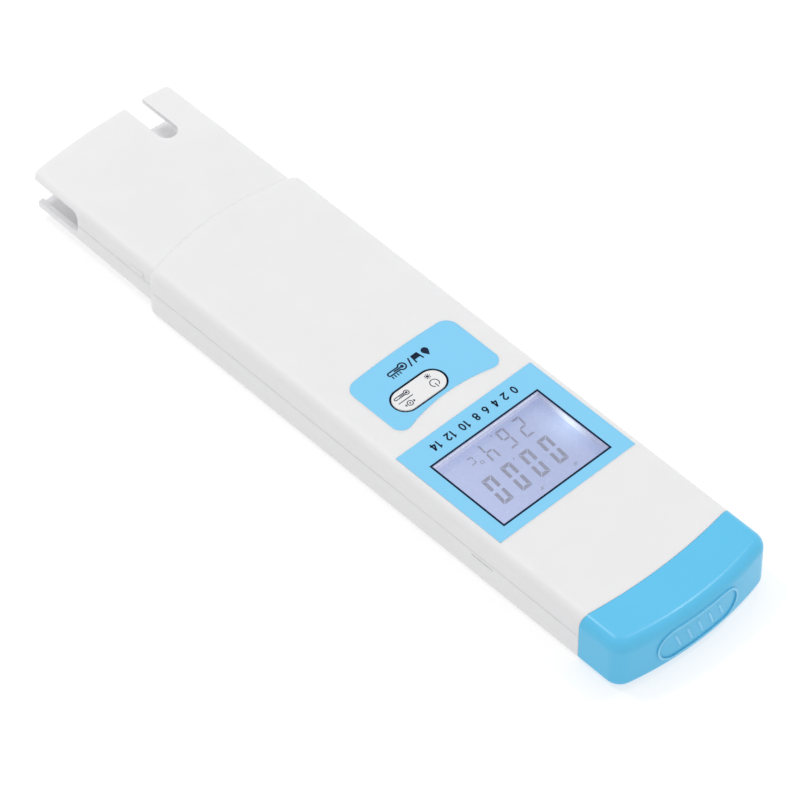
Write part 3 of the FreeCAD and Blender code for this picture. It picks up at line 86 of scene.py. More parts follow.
class Tree:
    """A new material with one Principled shader, and short calls that add texture nodes."""

    def __init__(self, name, **sockets):
        self.material = bpy.data.materials.new(name)
        self.material.use_nodes = True
        self.tree = self.material.node_tree
        self.shader = self.tree.nodes["Principled BSDF"]
        self.coordinates = self.node("TexCoord").outputs["Object"]
        for socket, value in sockets.items():
            self.shader.inputs[socket.replace("_", " ")].default_value = value

    def node(self, kind, **settings):
        made = self.tree.nodes.new("ShaderNode" + kind)
        for setting, value in settings.items():
            setattr(made, setting, value)
        return made

    def link(self, output, target):
        self.tree.links.new(output, target)

    def fill(self, made, **inputs):
        """Set or link the inputs of a node by name, with _ for a space."""
        for name, value in inputs.items():
            socket = made.inputs[name.replace("_", " ")]
            if isinstance(value, bpy.types.NodeSocket):
                self.link(value, socket)
            else:
                socket.default_value = value
        return made

    def stretched(self, stretch):
        """Object coordinates, squeezed along the axes in which a texture runs long."""
        mapping = self.node("Mapping")
        self.fill(mapping, Vector=self.coordinates, Scale=stretch)
        return mapping.outputs["Vector"]

    def noise(self, size, detail=3.0, stretch=None, roughness=0.5):
        """Noise whose patches are about size metres across."""
        place = self.stretched(stretch) if stretch else self.coordinates
        made = self.fill(self.node("TexNoise"), Vector=place, Scale=1 / size, Detail=detail,
                         Roughness=roughness)
        return made.outputs["Fac"]

    def ranged(self, value, low, high, start=0.3, stop=0.7):
        """value, which runs from start to stop, as a number from low to high."""
        made = self.fill(self.node("MapRange"), Value=value, From_Min=start, From_Max=stop,
                         To_Min=low, To_Max=high)
        return made.outputs["Result"]

    def blend(self, share, first, second):
        """A colour between two colours."""
        made = self.node("Mix", data_type="RGBA")
        for index, value in ((0, share), (6, first), (7, second)):
            socket = made.inputs[index]
            if isinstance(value, bpy.types.NodeSocket):
                self.link(value, socket)
            else:
                socket.default_value = value
        return made.outputs[2]

    def maths(self, operation, first, second=0.0):
        made = self.node("Math", operation=operation)
        for index, value in enumerate((first, second)):
            if isinstance(value, bpy.types.NodeSocket):
                self.link(value, made.inputs[index])
            else:
                made.inputs[index].default_value = value
        return made.outputs[0]

    def bump(self, height, distance, normal=None):
        """A normal from a height of 0 to 1, where 1 stands distance metres high."""
        made = self.fill(self.node("Bump"), Height=height, Distance=distance)
        if normal:
            self.link(normal, made.inputs["Normal"])
        return made.outputs["Normal"]

    def softened(self, radius):
        """A normal that rounds sharp edges off."""
        return self.fill(self.node("Bevel", samples=6), Radius=radius).outputs["Normal"]

    def nearness(self, point, near, far, power=1.0, stretch=(1, 1, 1)):
        """1 closer than near to a point, falling to 0 at far."""
        away = self.node("VectorMath", operation="DISTANCE")
        self.link(self.stretched(stretch), away.inputs[0])
        away.inputs[1].default_value = [part * by for part, by in zip(point, stretch)]
        return self.maths("POWER", self.ranged(away.outputs["Value"], 1, 0, near, far), power)

    def inside(self, low, high):
        """1 inside a box and 0 outside it."""
        middle = [(a + b) / 2 for a, b in zip(low, high)]
        half = [(b - a) / 2 for a, b in zip(low, high)]
        moved = self.node("VectorMath", operation="SUBTRACT")
        self.link(self.coordinates, moved.inputs[0])
        moved.inputs[1].default_value = middle
        apart = self.node("VectorMath", operation="ABSOLUTE")
        self.link(moved.outputs[0], apart.inputs[0])
        over = self.node("VectorMath", operation="SUBTRACT")
        self.link(apart.outputs[0], over.inputs[0])
        over.inputs[1].default_value = half
        parts = self.node("SeparateXYZ")
        self.link(over.outputs[0], parts.inputs[0])
        most = self.maths("MAXIMUM", parts.outputs[0], parts.outputs[1])
        return self.maths("LESS_THAN", self.maths("MAXIMUM", most, parts.outputs[2]), 0.0)

    def finish(self, colour=None, rough=None, normal=None):
        for output, name in ((colour, "Base Color"), (rough, "Roughness"), (normal, "Normal")):
            if output:
                self.link(output, self.shader.inputs[name])
        return self.material


# ------------------------------------------------------------------ finishes
def moulded(name, colour, rough, grain=0.25 * MM, relief=0.006 * MM, shift=0.01, swing=0.05,
            edge=0.12 * MM, patch=9 * MM, lit=False, **sockets):
    """Moulded plastic or rubber: a fine texture, slight patches of colour and gloss, soft edges.

    lit adds a painted glow, by place: emission in place of the light that the display spreads on
    the walls round it, and of what comes through the thin walls of the sensor guard.
    """
    made = Tree(name, **sockets)
    cloud = made.noise(patch)
    fine = made.noise(grain, detail=2.0)
    tint = made.blend(made.ranged(cloud, 0, 1), scaled(colour, 1 - shift),
                      scaled(colour, 1 + shift))
    # Painted glow: emission set by place on plastic that is no lamp.
    if lit:
        made.link(stray_light(made), made.shader.inputs["Emission Color"])
        made.shader.inputs["Emission Strength"].default_value = 1.0
    gloss = made.ranged(made.noise(patch / 3, detail=5.0), rough - swing, rough + swing)
    edges = made.softened(edge) if edge else None
    return made.finish(tint, gloss, made.bump(fine, relief, edges))


def stray_light(made):
    """Painted glow, by place: emission in place of light on the walls of the display's opening,
    and inside the guard.
    """
    (left, low), (right, high) = window_opening()
    ledge = 0.45 * MM
    edge = 0.05 * MM
    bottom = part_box("lcd_panel")[1].z - 2 * edge
    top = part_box("display_window")[0].z
    well = made.inside((left - ledge, low - ledge, bottom),
                       (right + ledge, high + ledge, top + edge))
    lamp_wall = made.inside((left - ledge, low, bottom), (left + edge, high, top - edge))
    low_ledge = made.inside((left - ledge, low - ledge, top - edge),
                            (right + ledge, low, top + edge))
    # Painted glow on the opening's walls and ledge, brighter near the side light.
    wall = made.blend(lamp_wall, WELL_PAINTED_GLOW, LAMP_WALL_PAINTED_GLOW)
    wall = made.blend(low_ledge, wall, LEDGE_PAINTED_GLOW)
    glow = made.nearness(lamp_point(), near=1.0 * MM, far=6.5 * MM, power=1.3)
    light = made.blend(well, BLACK, made.blend(glow, wall, LAMP_SIDE_PAINTED_GLOW))

    # Inside the guard: a faint painted glow, in place of light through its thin white walls.
    bulkhead_low, bulkhead_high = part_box("probe_bulkhead")
    side = bulkhead_high.x + 0.5 * MM
    past_tip = cad_low.y - 1 * MM
    floor = 2.6 * MM
    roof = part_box("lcd_frame")[1].z - 0.2 * MM
    chamber = made.inside((-side, past_tip, floor), (side, bulkhead_low.y, roof))
    return made.blend(chamber, light, GUARD_PAINTED_GLOW)


def film(name, colour, rough, depth=0.004 * MM):
    """Printed polyester film: glossy, with a shallow ripple and a dust of fine specks.

    The cut edge round the display's opening is painted pale and given a painted glow, for the
    display's light falling on it.
    """
    made = Tree(name, Coat_Weight=0.15, Coat_Roughness=0.12)
    speck = made.ranged(made.noise(0.12 * MM, detail=1.0), 0, 1, 0.35, 0.65)
    tint = made.blend(speck, scaled(colour, 0.985), scaled(colour, 1.015))
    (left, low), (right, high) = window_opening()
    skin = 0.02 * MM
    rim = made.inside((left - skin, low - skin, 0), (right + skin, high + skin, cad_high.z))
    # The cut edge: painted paler, with a painted glow, for the display's light on it.
    tint = made.blend(rim, tint, FILM_RIM_PAINTED_LIGHT)
    made.link(made.blend(rim, BLACK, WELL_PAINTED_GLOW), made.shader.inputs["Emission Color"])
    made.shader.inputs["Emission Strength"].default_value = 1.0
    gloss = made.ranged(made.noise(4 * MM, detail=4.0), rough - 0.04, rough + 0.05)
    ripple = made.noise(1.6 * MM, detail=1.0)
    return made.finish(tint, gloss, made.bump(ripple, depth, made.softened(0.05 * MM)))


def metal(name, colour, rough, stretch=(1, 1, 1), line=0.12 * MM, relief=0.002 * MM, swing=0.1,
          edge=0.06 * MM):
    """Metal with fine drawing or rolling lines along the axes that stretch makes small."""
    made = Tree(name, Metallic=1.0)
    lines = made.noise(line, detail=3.0, stretch=stretch)
    cloud = made.noise(3 * MM, detail=5.0)
    tint = made.blend(made.ranged(cloud, 0, 1), scaled(colour, 0.88), scaled(colour, 1.05))
    gloss = made.ranged(lines, rough - swing, rough + swing)
    return made.finish(tint, gloss, made.bump(lines, relief, made.softened(edge)))


def ink(name, colour, rough=0.38):
    """Screen-printed ink: nearly even, with faint mottling and a slightly grained surface."""
    made = Tree(name, Specular_IOR_Level=0.12)
    mottle = made.ranged(made.noise(0.3 * MM, detail=2.0), 0, 1)
    tint = made.blend(mottle, scaled(colour, 0.85), scaled(colour, 1.2))
    gloss = made.ranged(made.noise(0.8 * MM), rough - 0.05, rough + 0.05)
    return made.finish(tint, gloss, made.bump(mottle, 0.001 * MM))


def spun_metal(name, colour, centre, rough=0.24):
    """Rolled and pressed sheet with fine rings round an upright axis, as on a coin cell."""
    made = Tree(name, Metallic=1.0)
    middle = made.fill(made.node("Mapping"), Vector=made.coordinates,
                       Location=(-centre[0], -centre[1], 0)).outputs["Vector"]
    flat = made.node("VectorMath", operation="MULTIPLY")
    made.link(middle, flat.inputs[0])
    flat.inputs[1].default_value = (1, 1, 0)
    reach = made.node("VectorMath", operation="LENGTH")
    made.link(flat.outputs[0], reach.inputs[0])
    rings = made.fill(made.node("TexNoise", noise_dimensions="1D"), W=reach.outputs["Value"],
                      Scale=1 / (0.18 * MM), Detail=2.0).outputs["Fac"]
    stain = made.noise(2.5 * MM, detail=6.0)
    tint = made.blend(made.ranged(stain, 0, 1), scaled(colour, 0.86), scaled(colour, 1.04))
    gloss = made.ranged(rings, rough - 0.08, rough + 0.12)
    return made.finish(tint, gloss, made.bump(rings, 0.002 * MM, made.softened(0.08 * MM)))


def clear(name, colour, alpha, rough=0.04, **sockets):
    """A clear sheet or tube that lets most of what is behind it show."""
    made = Tree(name, Alpha=alpha, IOR=1.49, **sockets)
    haze = made.ranged(made.noise(5 * MM, detail=4.0), 0, 1)
    tint = made.blend(haze, scaled(colour, 0.93), scaled(colour, 1.0))
    gloss = made.ranged(made.noise(2 * MM, detail=5.0), rough * 0.6, rough * 1.8)
    return made.finish(tint, gloss, made.bump(haze, 0.003 * MM))


def circuit_board(name):
    """Glass-fibre board: green resist over branching copper tracks and a faint weave."""
    green = display_colour(22, 92, 52)
    made = Tree(name, Specular_IOR_Level=0.5)
    cells = made.node("TexVoronoi", distance="MANHATTAN", feature="F2")
    made.fill(cells, Vector=made.coordinates, Scale=1 / (2.6 * MM))
    bands = made.maths("FRACT", made.maths("MULTIPLY", cells.outputs["Distance"], 3.0))
    tracks = made.ranged(bands, 0, 1, 0.40, 0.46)
    thread = 0.5 * MM
    warp = made.maths("SINE", made.noise(thread, detail=0.0, stretch=(1, 0.2, 1)))
    weave = made.maths("ADD", warp, made.noise(thread, detail=0.0, stretch=(0.2, 1, 1)))
    tint = made.blend(tracks, scaled(green, 0.75), scaled(green, 1.5))
    tint = made.blend(made.ranged(weave, 0, 0.25, 0.8, 1.2), tint, scaled(green, 1.1))
    gloss = made.ranged(tracks, 0.32, 0.24, 0, 1)
    height = made.maths("ADD", tracks, made.maths("MULTIPLY", weave, 0.3))
    return made.finish(tint, gloss, made.bump(height, 0.02 * MM, made.softened(0.05 * MM)))


def porous(name, colour):
    """Sintered ceramic: many fine open pores."""
    made = Tree(name)
    grains = made.fill(made.node("TexVoronoi"), Vector=made.coordinates,
                       Scale=1 / (0.12 * MM)).outputs["Distance"]
    tint = made.blend(made.ranged(grains, 0, 1, 0, 0.6), scaled(colour, 0.7), colour)
    gloss = made.ranged(grains, 0.95, 0.8, 0, 0.6)
    return made.finish(tint, gloss, made.bump(grains, 0.03 * MM))


def layered(name, pale, dark):
    """Contact rubber: thin dark layers between pale ones, across the strip's length."""
    made = Tree(name)
    layers = made.fill(made.node("TexWave", bands_direction="X"), Vector=made.coordinates,
                       Scale=1 / (6.4 * MM), Distortion=0.4).outputs["Fac"]
    tint = made.blend(made.ranged(layers, 0, 1, 0.35, 0.65), pale, dark)
    gloss = made.ranged(made.noise(0.4 * MM), 0.6, 0.75)
    return made.finish(tint, gloss, made.bump(layers, 0.01 * MM))


def lamp_point():
    """Where the side light shines in: the middle of the display glass's low-x edge."""
    low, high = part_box("backlight_led")
    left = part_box("lcd_frame")[0].x + LAMP_INSET
    return left, (low.y + high.y) / 2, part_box("lcd_panel")[1].z + LAMP_RISE


def lit_glass(name):
    """The display glass: pale lavender, lit from the middle of its low-x edge."""
    lamp = lamp_point()
    made = Tree(name, Emission_Strength=1.0, Coat_Weight=0.1, Coat_Roughness=0.05)
    hot = made.nearness(lamp, near=0.5 * MM, far=8 * MM, power=1.7, stretch=(1, 0.85, 0))
    mid = made.nearness(lamp, near=14 * MM, far=30 * MM, stretch=(1, 1, 0))
    glow = made.blend(hot, made.blend(mid, LCD_FAR, LCD_MIDDLE), LCD_NEAR)
    cloud = made.ranged(made.noise(5 * MM), 0, 1)
    tint = made.blend(cloud, scaled(LCD_BODY, 0.985), scaled(LCD_BODY, 1.015))
    made.link(glow, made.shader.inputs["Emission Color"])
    gloss = made.ranged(made.noise(2 * MM), 0.22, 0.3)
    return made.finish(tint, gloss, made.bump(made.noise(0.3 * MM), 0.001 * MM))


# Surface colours.
WHITE = display_colour(226, 226, 227)
SKY_BLUE = display_colour(92, 189, 230)       # the battery cap
# The raised lines on the cap are painted a paler blue, as the highlight they catch.
RIB_HIGHLIGHT_PAINTED_BLUE = display_colour(124, 204, 240)     # the raised lines on the cap
FILM_BLUE = display_colour(122, 198, 236)     # the two labels
# The label's cut edge is painted paler, for the display's light on it.
FILM_RIM_PAINTED_LIGHT = display_colour(200, 206, 226)      # the cut edge of the display label
NAVY = display_colour(12, 30, 56)
LCD_BODY = display_colour(120, 126, 142)
GREY_SEGMENT = display_colour(140, 142, 158)

# Light given off, as linear values, by place. The walls, ledge and guard values are painted glow
# on plastic that is no lamp; the LCD values are the display glass's backlight.
BLACK = (0.0, 0.0, 0.0, 1.0)
LAMP_SIDE_PAINTED_GLOW = (0.48, 0.52, 0.58, 1.0)         # walls next to the side light
LAMP_WALL_PAINTED_GLOW = (0.01, 0.02, 0.10, 1.0)    # the rest of the wall on that side
WELL_PAINTED_GLOW = (0.12, 0.13, 0.22, 1.0)         # the other walls of the opening
LEDGE_PAINTED_GLOW = (0.32, 0.33, 0.40, 1.0)        # the ledge under the window's low-y edge
GUARD_PAINTED_GLOW = (0.055, 0.055, 0.058, 1.0)     # inside the sensor guard
LCD_NEAR = (0.39, 0.50, 0.74, 1.0)            # the glass next to the side light
LCD_MIDDLE = (0.225, 0.270, 0.462, 1.0)
LCD_FAR = (0.29, 0.335, 0.54, 1.0)

# Where the side light seems to be: in from the frame's edge, and above the display glass.
LAMP_INSET = 3.0 * MM
LAMP_RISE = 1.6 * MM

WHITE_PLASTIC = {"colour": WHITE, "rough": 0.46, "Subsurface_Weight": 0.3,
                 "Subsurface_Radius": (1, 1, 1), "Subsurface_Scale": 1.5 * MM}


def make_finishes():
    """Every material of the object, by the name of the record's slot."""
    black = display_colour(30, 30, 33)
    cell_middle = [(a + b) / 2 for a, b in zip(*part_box("coin_cell_lower"))]
    return {
        "white_plastic": moulded("white_plastic", **WHITE_PLASTIC),
        "blue_plastic": moulded("blue_plastic", SKY_BLUE, 0.24, relief=0.002 * MM, edge=0.2 * MM,
                                swing=0.03, Specular_IOR_Level=0.27),
        "blue_film": film("blue_film", FILM_BLUE, 0.36),
        "key_plastic": moulded("key_plastic", WHITE, 0.34, relief=0.003 * MM, edge=0.08 * MM),
        "clear_window": clear("clear_window", display_colour(200, 205, 225), 0.10),
        "lcd_glass": lit_glass("lcd_glass"),
        "light_guide": moulded("light_guide", display_colour(228, 232, 244), 0.18,
                               grain=0.4 * MM, relief=0.02 * MM, Subsurface_Weight=0.2),
        "led": moulded("led", display_colour(250, 246, 220), 0.3, patch=1 * MM, shift=0.05),
        "seal_rubber": moulded("seal_rubber", display_colour(38, 38, 42), 0.72,
                               grain=0.12 * MM, relief=0.01 * MM, shift=0.12, patch=3 * MM),
        "strip_rubber": layered("strip_rubber", display_colour(222, 218, 208), black),
        "board": circuit_board("board"),
        "chip_black": moulded("chip_black", display_colour(34, 34, 37), 0.55, grain=0.08 * MM,
                              relief=0.01 * MM, shift=0.15, patch=2 * MM, edge=0.05 * MM),
        "chip_tan": moulded("chip_tan", display_colour(176, 138, 96), 0.5, grain=0.1 * MM,
                            shift=0.12, patch=0.5 * MM, edge=0.05 * MM),
        "socket_plastic": moulded("socket_plastic", display_colour(232, 226, 208), 0.42,
                                  shift=0.04, patch=2 * MM),
        "holder_plastic": moulded("holder_plastic", display_colour(36, 36, 39), 0.5,
                                  grain=0.2 * MM, relief=0.01 * MM, shift=0.12),
        "steel": metal("steel", display_colour(205, 206, 208), 0.24, stretch=(1, 0.06, 1)),
        "spring_metal": metal("spring_metal", display_colour(226, 196, 128), 0.26,
                              stretch=(1, 0.05, 1)),
        "nickel": spun_metal("nickel", display_colour(212, 210, 204), cell_middle),
        "bulkhead_plastic": moulded("bulkhead_plastic", display_colour(206, 208, 212), 0.48),
        "chamber_plastic": moulded("chamber_plastic", display_colour(58, 66, 78), 0.3,
                                   relief=0.003 * MM, shift=0.08),
        "junction_ceramic": porous("junction_ceramic", display_colour(238, 232, 220)),
        "electrode_glass": clear("electrode_glass", display_colour(226, 238, 242), 0.34),
        "silver_wire": metal("silver_wire", display_colour(226, 226, 222), 0.3,
                             stretch=(1, 0.05, 1), swing=0.15),
        "lead_black": moulded("lead_black", display_colour(32, 32, 34), 0.5, patch=1.5 * MM,
                              shift=0.15),
        "lead_red": moulded("lead_red", display_colour(176, 36, 30), 0.45, patch=1.5 * MM,
                            shift=0.1),
        "bead": moulded("bead", display_colour(48, 40, 38), 0.2, patch=0.5 * MM, shift=0.25),
    }


def paint_nodes(finishes):
    """Give each CAD node the finish that the record's slot names, in place of its plain one."""
    for row in frame["record"]["subparts"]:
        mesh = nodes[row["node"]].data
        mesh.materials.clear()
        mesh.materials.append(finishes[row["material_slot"]])
    # The shells and the display frame take a copy of the white plastic with a painted glow, by
    # place, round the display's opening and inside the guard.
    lit = moulded("white_plastic_painted_glow", lit=True, **WHITE_PLASTIC)
    for name in ("front_shell", "back_shell", "lcd_frame"):
        nodes[name].data.materials[0] = lit


# ------------------------------------------------------------------ flat printed shapes
def prism(mesh, outline, low, high):
    """A flat plate with the closed outline (x, y), ..., between two heights."""
    bottom = [mesh.verts.new((x, y, low)) for x, y in outline]
    top = [mesh.verts.new((x, y, high)) for x, y in outline]
    mesh.faces.new(top)
    mesh.faces.new(bottom[::-1])
    for index in range(len(outline)):
        after = (index + 1) % len(outline)
        mesh.faces.new((bottom[index], bottom[after], top[after], top[index]))


def sides_of(path, width, closed):
    """The left and right edge of a line of even width along a path, with mitred corners."""
    points = [Vector(point) for point in path]
    left, right = [], []
    for index, point in enumerate(points):
        before = points[index - 1] if closed or index else None
        after = points[(index + 1) % len(points)] if closed or index + 1 < len(points) else None
        ways = [(b - a).normalized() for a, b in ((before, point), (point, after))
                if a is not None and b is not None]
        along = sum(ways, Vector((0, 0))).normalized()
        side = Vector((-along.y, along.x))
        reach = width / 2 / max(side.dot(Vector((-ways[0].y, ways[0].x))), 0.3)
        left.append(point + side * reach)
        right.append(point - side * reach)
    return left, right


def line(mesh, path, width, low, high, closed=False):
    """A flat line of even width along a path of (x, y) points, between two heights."""
    left, right = sides_of(path, width, closed)
    rows = [[mesh.verts.new((*left[i], low)), mesh.verts.new((*right[i], low)),
             mesh.verts.new((*right[i], high)), mesh.verts.new((*left[i], high))]
            for i in range(len(path))]
    pairs = list(zip(rows, rows[1:] + rows[:1])) if closed else list(zip(rows, rows[1:]))
    for row, following in pairs:
        for corner in range(4):
            other = (corner + 1) % 4
            mesh.faces.new((row[corner], row[other], following[other], following[corner]))
    if not closed:
        mesh.faces.new(rows[0][::-1])
        mesh.faces.new(rows[-1])


def arc(centre, radius, start, stop, steps=24):
    """Points along an arc, with its angles in degrees anticlockwise from +X."""
    angles = [math.radians(start + (stop - start) * i / steps) for i in range(steps + 1)]
    return [(centre[0] + radius * math.cos(a), centre[1] + radius * math.sin(a)) for a in angles]


def circle(centre, radius, steps=32):
    return arc(centre, radius, 0, 360, steps)[:-1]


def stadium(centre, length, width, straight=1):
    """A slot outline with round ends, lying along X, and its straight sides in equal steps."""
    reach = (length - width) / 2
    right = arc((centre[0] + reach, centre[1]), width / 2, -90, 90)
    left = arc((centre[0] - reach, centre[1]), width / 2, 90, 270)

    def between(start, stop):
        return [tuple(a + (b - a) * step / straight for a, b in zip(start, stop))
                for step in range(1, straight)]

    return right + between(right[-1], left[0]) + left + between(left[-1], right[0])


def add_piece(name, mesh, finish, body):
    """Turn a bmesh into a piece with one finish that rides on a body."""
    bmesh.ops.recalc_face_normals(mesh, faces=mesh.faces)
    data = bpy.data.meshes.new(name)
    mesh.to_mesh(data)
    mesh.free()
    data.materials.append(finish)
    piece = bpy.data.objects.new(name, data)
    bpy.context.scene.collection.objects.link(piece)
    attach(piece, body)
    return piece


def oval(centre, across, up, steps=28):
    """A closed ring of points, across and up from the centre."""
    turns = [2 * math.pi * step / steps for step in range(steps)]
    return [(centre[0] + across * math.cos(turn), centre[1] + up * math.sin(turn))
            for turn in turns]


# The strokes of each digit in a box that is 1 wide and 2 high, as (path, closed), and the
# distance between the middles of two digits.
DIGIT_PITCH = 1.28
DIGIT_STROKES = {
    "0": [(oval((0, 0), 0.44, 0.84), True)],
    "1": [([(-0.30, 0.55), (0.08, 0.86), (0.08, -1.0)], False)],
    "2": [(arc((0, 0.38), 0.44, 170, -40) + [(-0.44, -0.84), (0.54, -0.84)], False)],
    "4": [([(0.22, -1.0), (0.22, 1.0)], False),
          ([(0.16, 0.88), (-0.50, -0.40)], False),
          ([(-0.62, -0.44), (0.58, -0.44)], False)],
    "6": [(oval((0, -0.36), 0.44, 0.48), True),
          ([(-0.42, -0.26), (-0.28, 0.36), (0.22, 0.94)], False)],
    "8": [(oval((0, 0.44), 0.36, 0.40), True),
          (oval((0, -0.42), 0.44, 0.44), True)],
}


class Print:
    """Ink on one flat face, drawn in millimetres from a middle point that is in metres."""

    def __init__(self, face_height, middle=(0, 0)):
        self.mesh = bmesh.new()
        self.low = face_height - INK_SINK
        self.high = face_height + INK_RISE
        self.middle = middle

    def spot(self, point):
        return self.middle[0] + point[0] * MM, self.middle[1] + point[1] * MM

    def solid(self, outline):
        prism(self.mesh, [self.spot(point) for point in outline], self.low, self.high)

    def stroke(self, path, width, closed=False):
        line(self.mesh, [self.spot(point) for point in path], width * MM, self.low, self.high,
             closed)

    def numeral(self, text, place, height, weight):
        """A number of plain drawn digits whose middle stands at place."""
        scale = height / 2
        first = -(len(text) - 1) / 2
        for index, digit in enumerate(text):
            x = place[0] + (first + index) * DIGIT_PITCH * scale
            for path, closed in DIGIT_STROKES[digit]:
                spots = [(x + a * scale, place[1] + b * scale) for a, b in path]
                self.stroke(spots, weight, closed)

    def piece(self, name, finish, body):
        add_piece(name, self.mesh, finish, body)


# ------------------------------------------------------------------ what is printed where
def middle_of(node):
    """The middle (x, y) of a node's box."""
    low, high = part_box(node)
    return (low.x + high.x) / 2, (low.y + high.y) / 2


def window_opening():
    """Low and high corners, in metres, of the opening over the display."""
    low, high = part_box("display_window")
    return ((low.x + WINDOW_LIP, low.y + WINDOW_LIP),
            (high.x - WINDOW_LIP, high.y - WINDOW_LIP))


def print_window_line(finish):
    """The dark line round the opening in the display label."""
    width = 0.45
    out = width / 2
    low_corner, high_corner = window_opening()
    left, low = [value / MM - out for value in low_corner]
    right, high = [value / MM + out for value in high_corner]
    work = Print(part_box("display_label")[1].z)
    work.stroke([(left, low), (right, low), (right, high), (left, high)], width, closed=True)
    work.piece("window_line", finish, "housing")


def print_scale(finish):
    """A plain pH scale under the window: the even numbers from 0 to 14."""
    tall = 2.0
    weight = 0.36
    above_edge = 3.05
    row = 23.2
    digit_width = 1.2
    numbers = [str(number) for number in range(0, 15, 2)]
    widths = [tall / 2 * (digit_width + DIGIT_PITCH * (len(number) - 1)) for number in numbers]
    gap = (row - sum(widths)) / (len(numbers) - 1)
    label_low, label_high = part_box("display_label")
    work = Print(label_high.z, (0, label_low.y))
    x = -row / 2
    for number, width in zip(numbers, widths):
        work.numeral(number, (x + width / 2, above_edge), tall, weight)
        x += width + gap
    work.piece("ph_scale", finish, "housing")


def thermometer(work, x, y, length, radius, weight):
    """A thermometer that lies along X, with its bulb at the left and a column inside it."""
    tube = radius * 0.5
    opening = math.asin(tube / radius)
    start = math.degrees(opening)
    outline = arc((x, y), radius, start, 360 - start)
    outline += arc((x + length, y), tube, -90, 90, 10)
    work.stroke(outline, weight, closed=True)
    work.solid(circle((x, y), radius * 0.45, 20))
    column_start = x + radius * 0.5
    column_stop = x + radius * math.cos(opening) + (length - radius) * 0.6
    work.stroke([(column_start, y), (column_stop, y)], weight)


def print_modes(finish):
    """What the pen measures, below the key: a drop, a beaker, a slash and a thermometer."""
    weight = 0.34
    y = 4.85
    work = Print(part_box("keypad_label")[1].z)

    drop_x = -5.35
    point = (drop_x, y + 1.25)
    work.solid(arc((drop_x, y - 0.3), 0.82, 150, 390) + [point])

    beaker_x = -2.95
    base, rim = y - 0.95, y + 1.0
    work.stroke([(beaker_x - 0.95, rim), (beaker_x - 0.72, base),
                 (beaker_x + 0.72, base), (beaker_x + 0.95, rim)], weight)
    fill_low, fill_high = y - 0.85, y + 0.2
    work.solid([(beaker_x - 0.62, fill_low), (beaker_x + 0.62, fill_low),
                (beaker_x + 0.74, fill_high), (beaker_x - 0.74, fill_high)])

    slash_x = -1.0
    work.stroke([(slash_x - 0.42, y - 1.1), (slash_x + 0.42, y + 1.1)], weight)

    bulb_x = 0.9
    thermometer(work, bulb_x, y - 0.3, length=3.3, radius=0.88, weight=weight)
    first_tick, tick_pitch = 1.35, 0.68
    for tick in range(4):
        x = bulb_x + first_tick + tick * tick_pitch
        work.stroke([(x, y + 0.42), (x, y + 1.1)], weight * 0.8)
    work.piece("mode_marks", finish, "housing")


def print_key(finish):
    """The key's marks: power and light at the left, calibrate over temperature at the right."""
    weight = 0.19
    work = Print(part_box("rocker_key")[1].z, middle_of("rocker_key"))

    power_x, power_y = -3.6, 0.75
    work.stroke(arc((power_x, power_y), 0.98, 120, 420), weight)
    work.stroke([(power_x, power_y + 0.1), (power_x, power_y + 1.3)], weight)

    light = Vector((-3.7, -1.45))
    work.solid(circle(light, 0.3, 20))
    rays, ray_start, ray_stop = 8, 0.42, 0.68
    for ray in range(rays):
        turn = 2 * math.pi * ray / rays
        way = Vector((math.cos(turn), math.sin(turn)))
        work.stroke([light + way * ray_start, light + way * ray_stop], weight)

    side = 3.6
    half_line = 1.95
    work.stroke([(side - half_line, 0), (side + half_line, 0)], weight)

    target_y = 1.3
    work.stroke(circle((side, target_y), 0.62), weight, closed=True)
    work.solid(circle((side, target_y), 0.2, 16))
    arrow_tip, arrow_base, arrow_half = 1.35, 0.92, 0.38
    for way in (-1, 1):
        arrow = [(side + way * arrow_tip, target_y),
                 (side + way * arrow_base, target_y + arrow_half),
                 (side + way * arrow_base, target_y - arrow_half)]
        work.solid(arrow[::way])

    thermometer(work, side - 1.35, -1.3, length=2.9, radius=0.58, weight=weight)
    work.piece("key_marks", finish, "rocker_key")


# ------------------------------------------------------------------ what the display shows
def segments(width, height, bar, gap):
    """The outlines of a seven-segment digit's bars, by their usual letters."""
    half = height / 2
    step = gap / 2
    inner = bar + step
    cut = half + bar / 2
    foot = half - bar / 2
    nick = bar * 0.18
    point = bar * 0.7
    top = [(step, height), (width - step, height), (width - inner, height - bar),
           (inner, height - bar)]
    upper = [(0, height - step), (bar, height - inner), (bar, cut + nick), (bar - nick, cut),
             (nick, cut), (0, cut + nick)]
    middle = [(inner, cut), (width - inner, cut), (width - point, half),
              (width - inner, foot), (inner, foot), (point, half)]

    def flipped(points):
        return [(x, height - y) for x, y in points]

    def mirrored(points):
        return [(width - x, y) for x, y in points]

    return {"a": top, "d": flipped(top), "f": upper, "e": flipped(upper),
            "b": mirrored(upper), "c": mirrored(flipped(upper)), "g": middle}


SHOWN = {"0": "abcdef", "2": "abdeg", "4": "bcfg", "6": "acdefg", "C": "adef"}
LARGE_DIGIT = {"width": 2.72, "height": 7.45, "bar": 0.82, "gap": 0.22}
SMALL_DIGIT = {"width": 2.25, "height": 5.4, "bar": 0.46, "gap": 0.22}
UNIT_LETTER = {"width": 1.45, "height": 1.95, "bar": 0.28, "gap": 0.14}


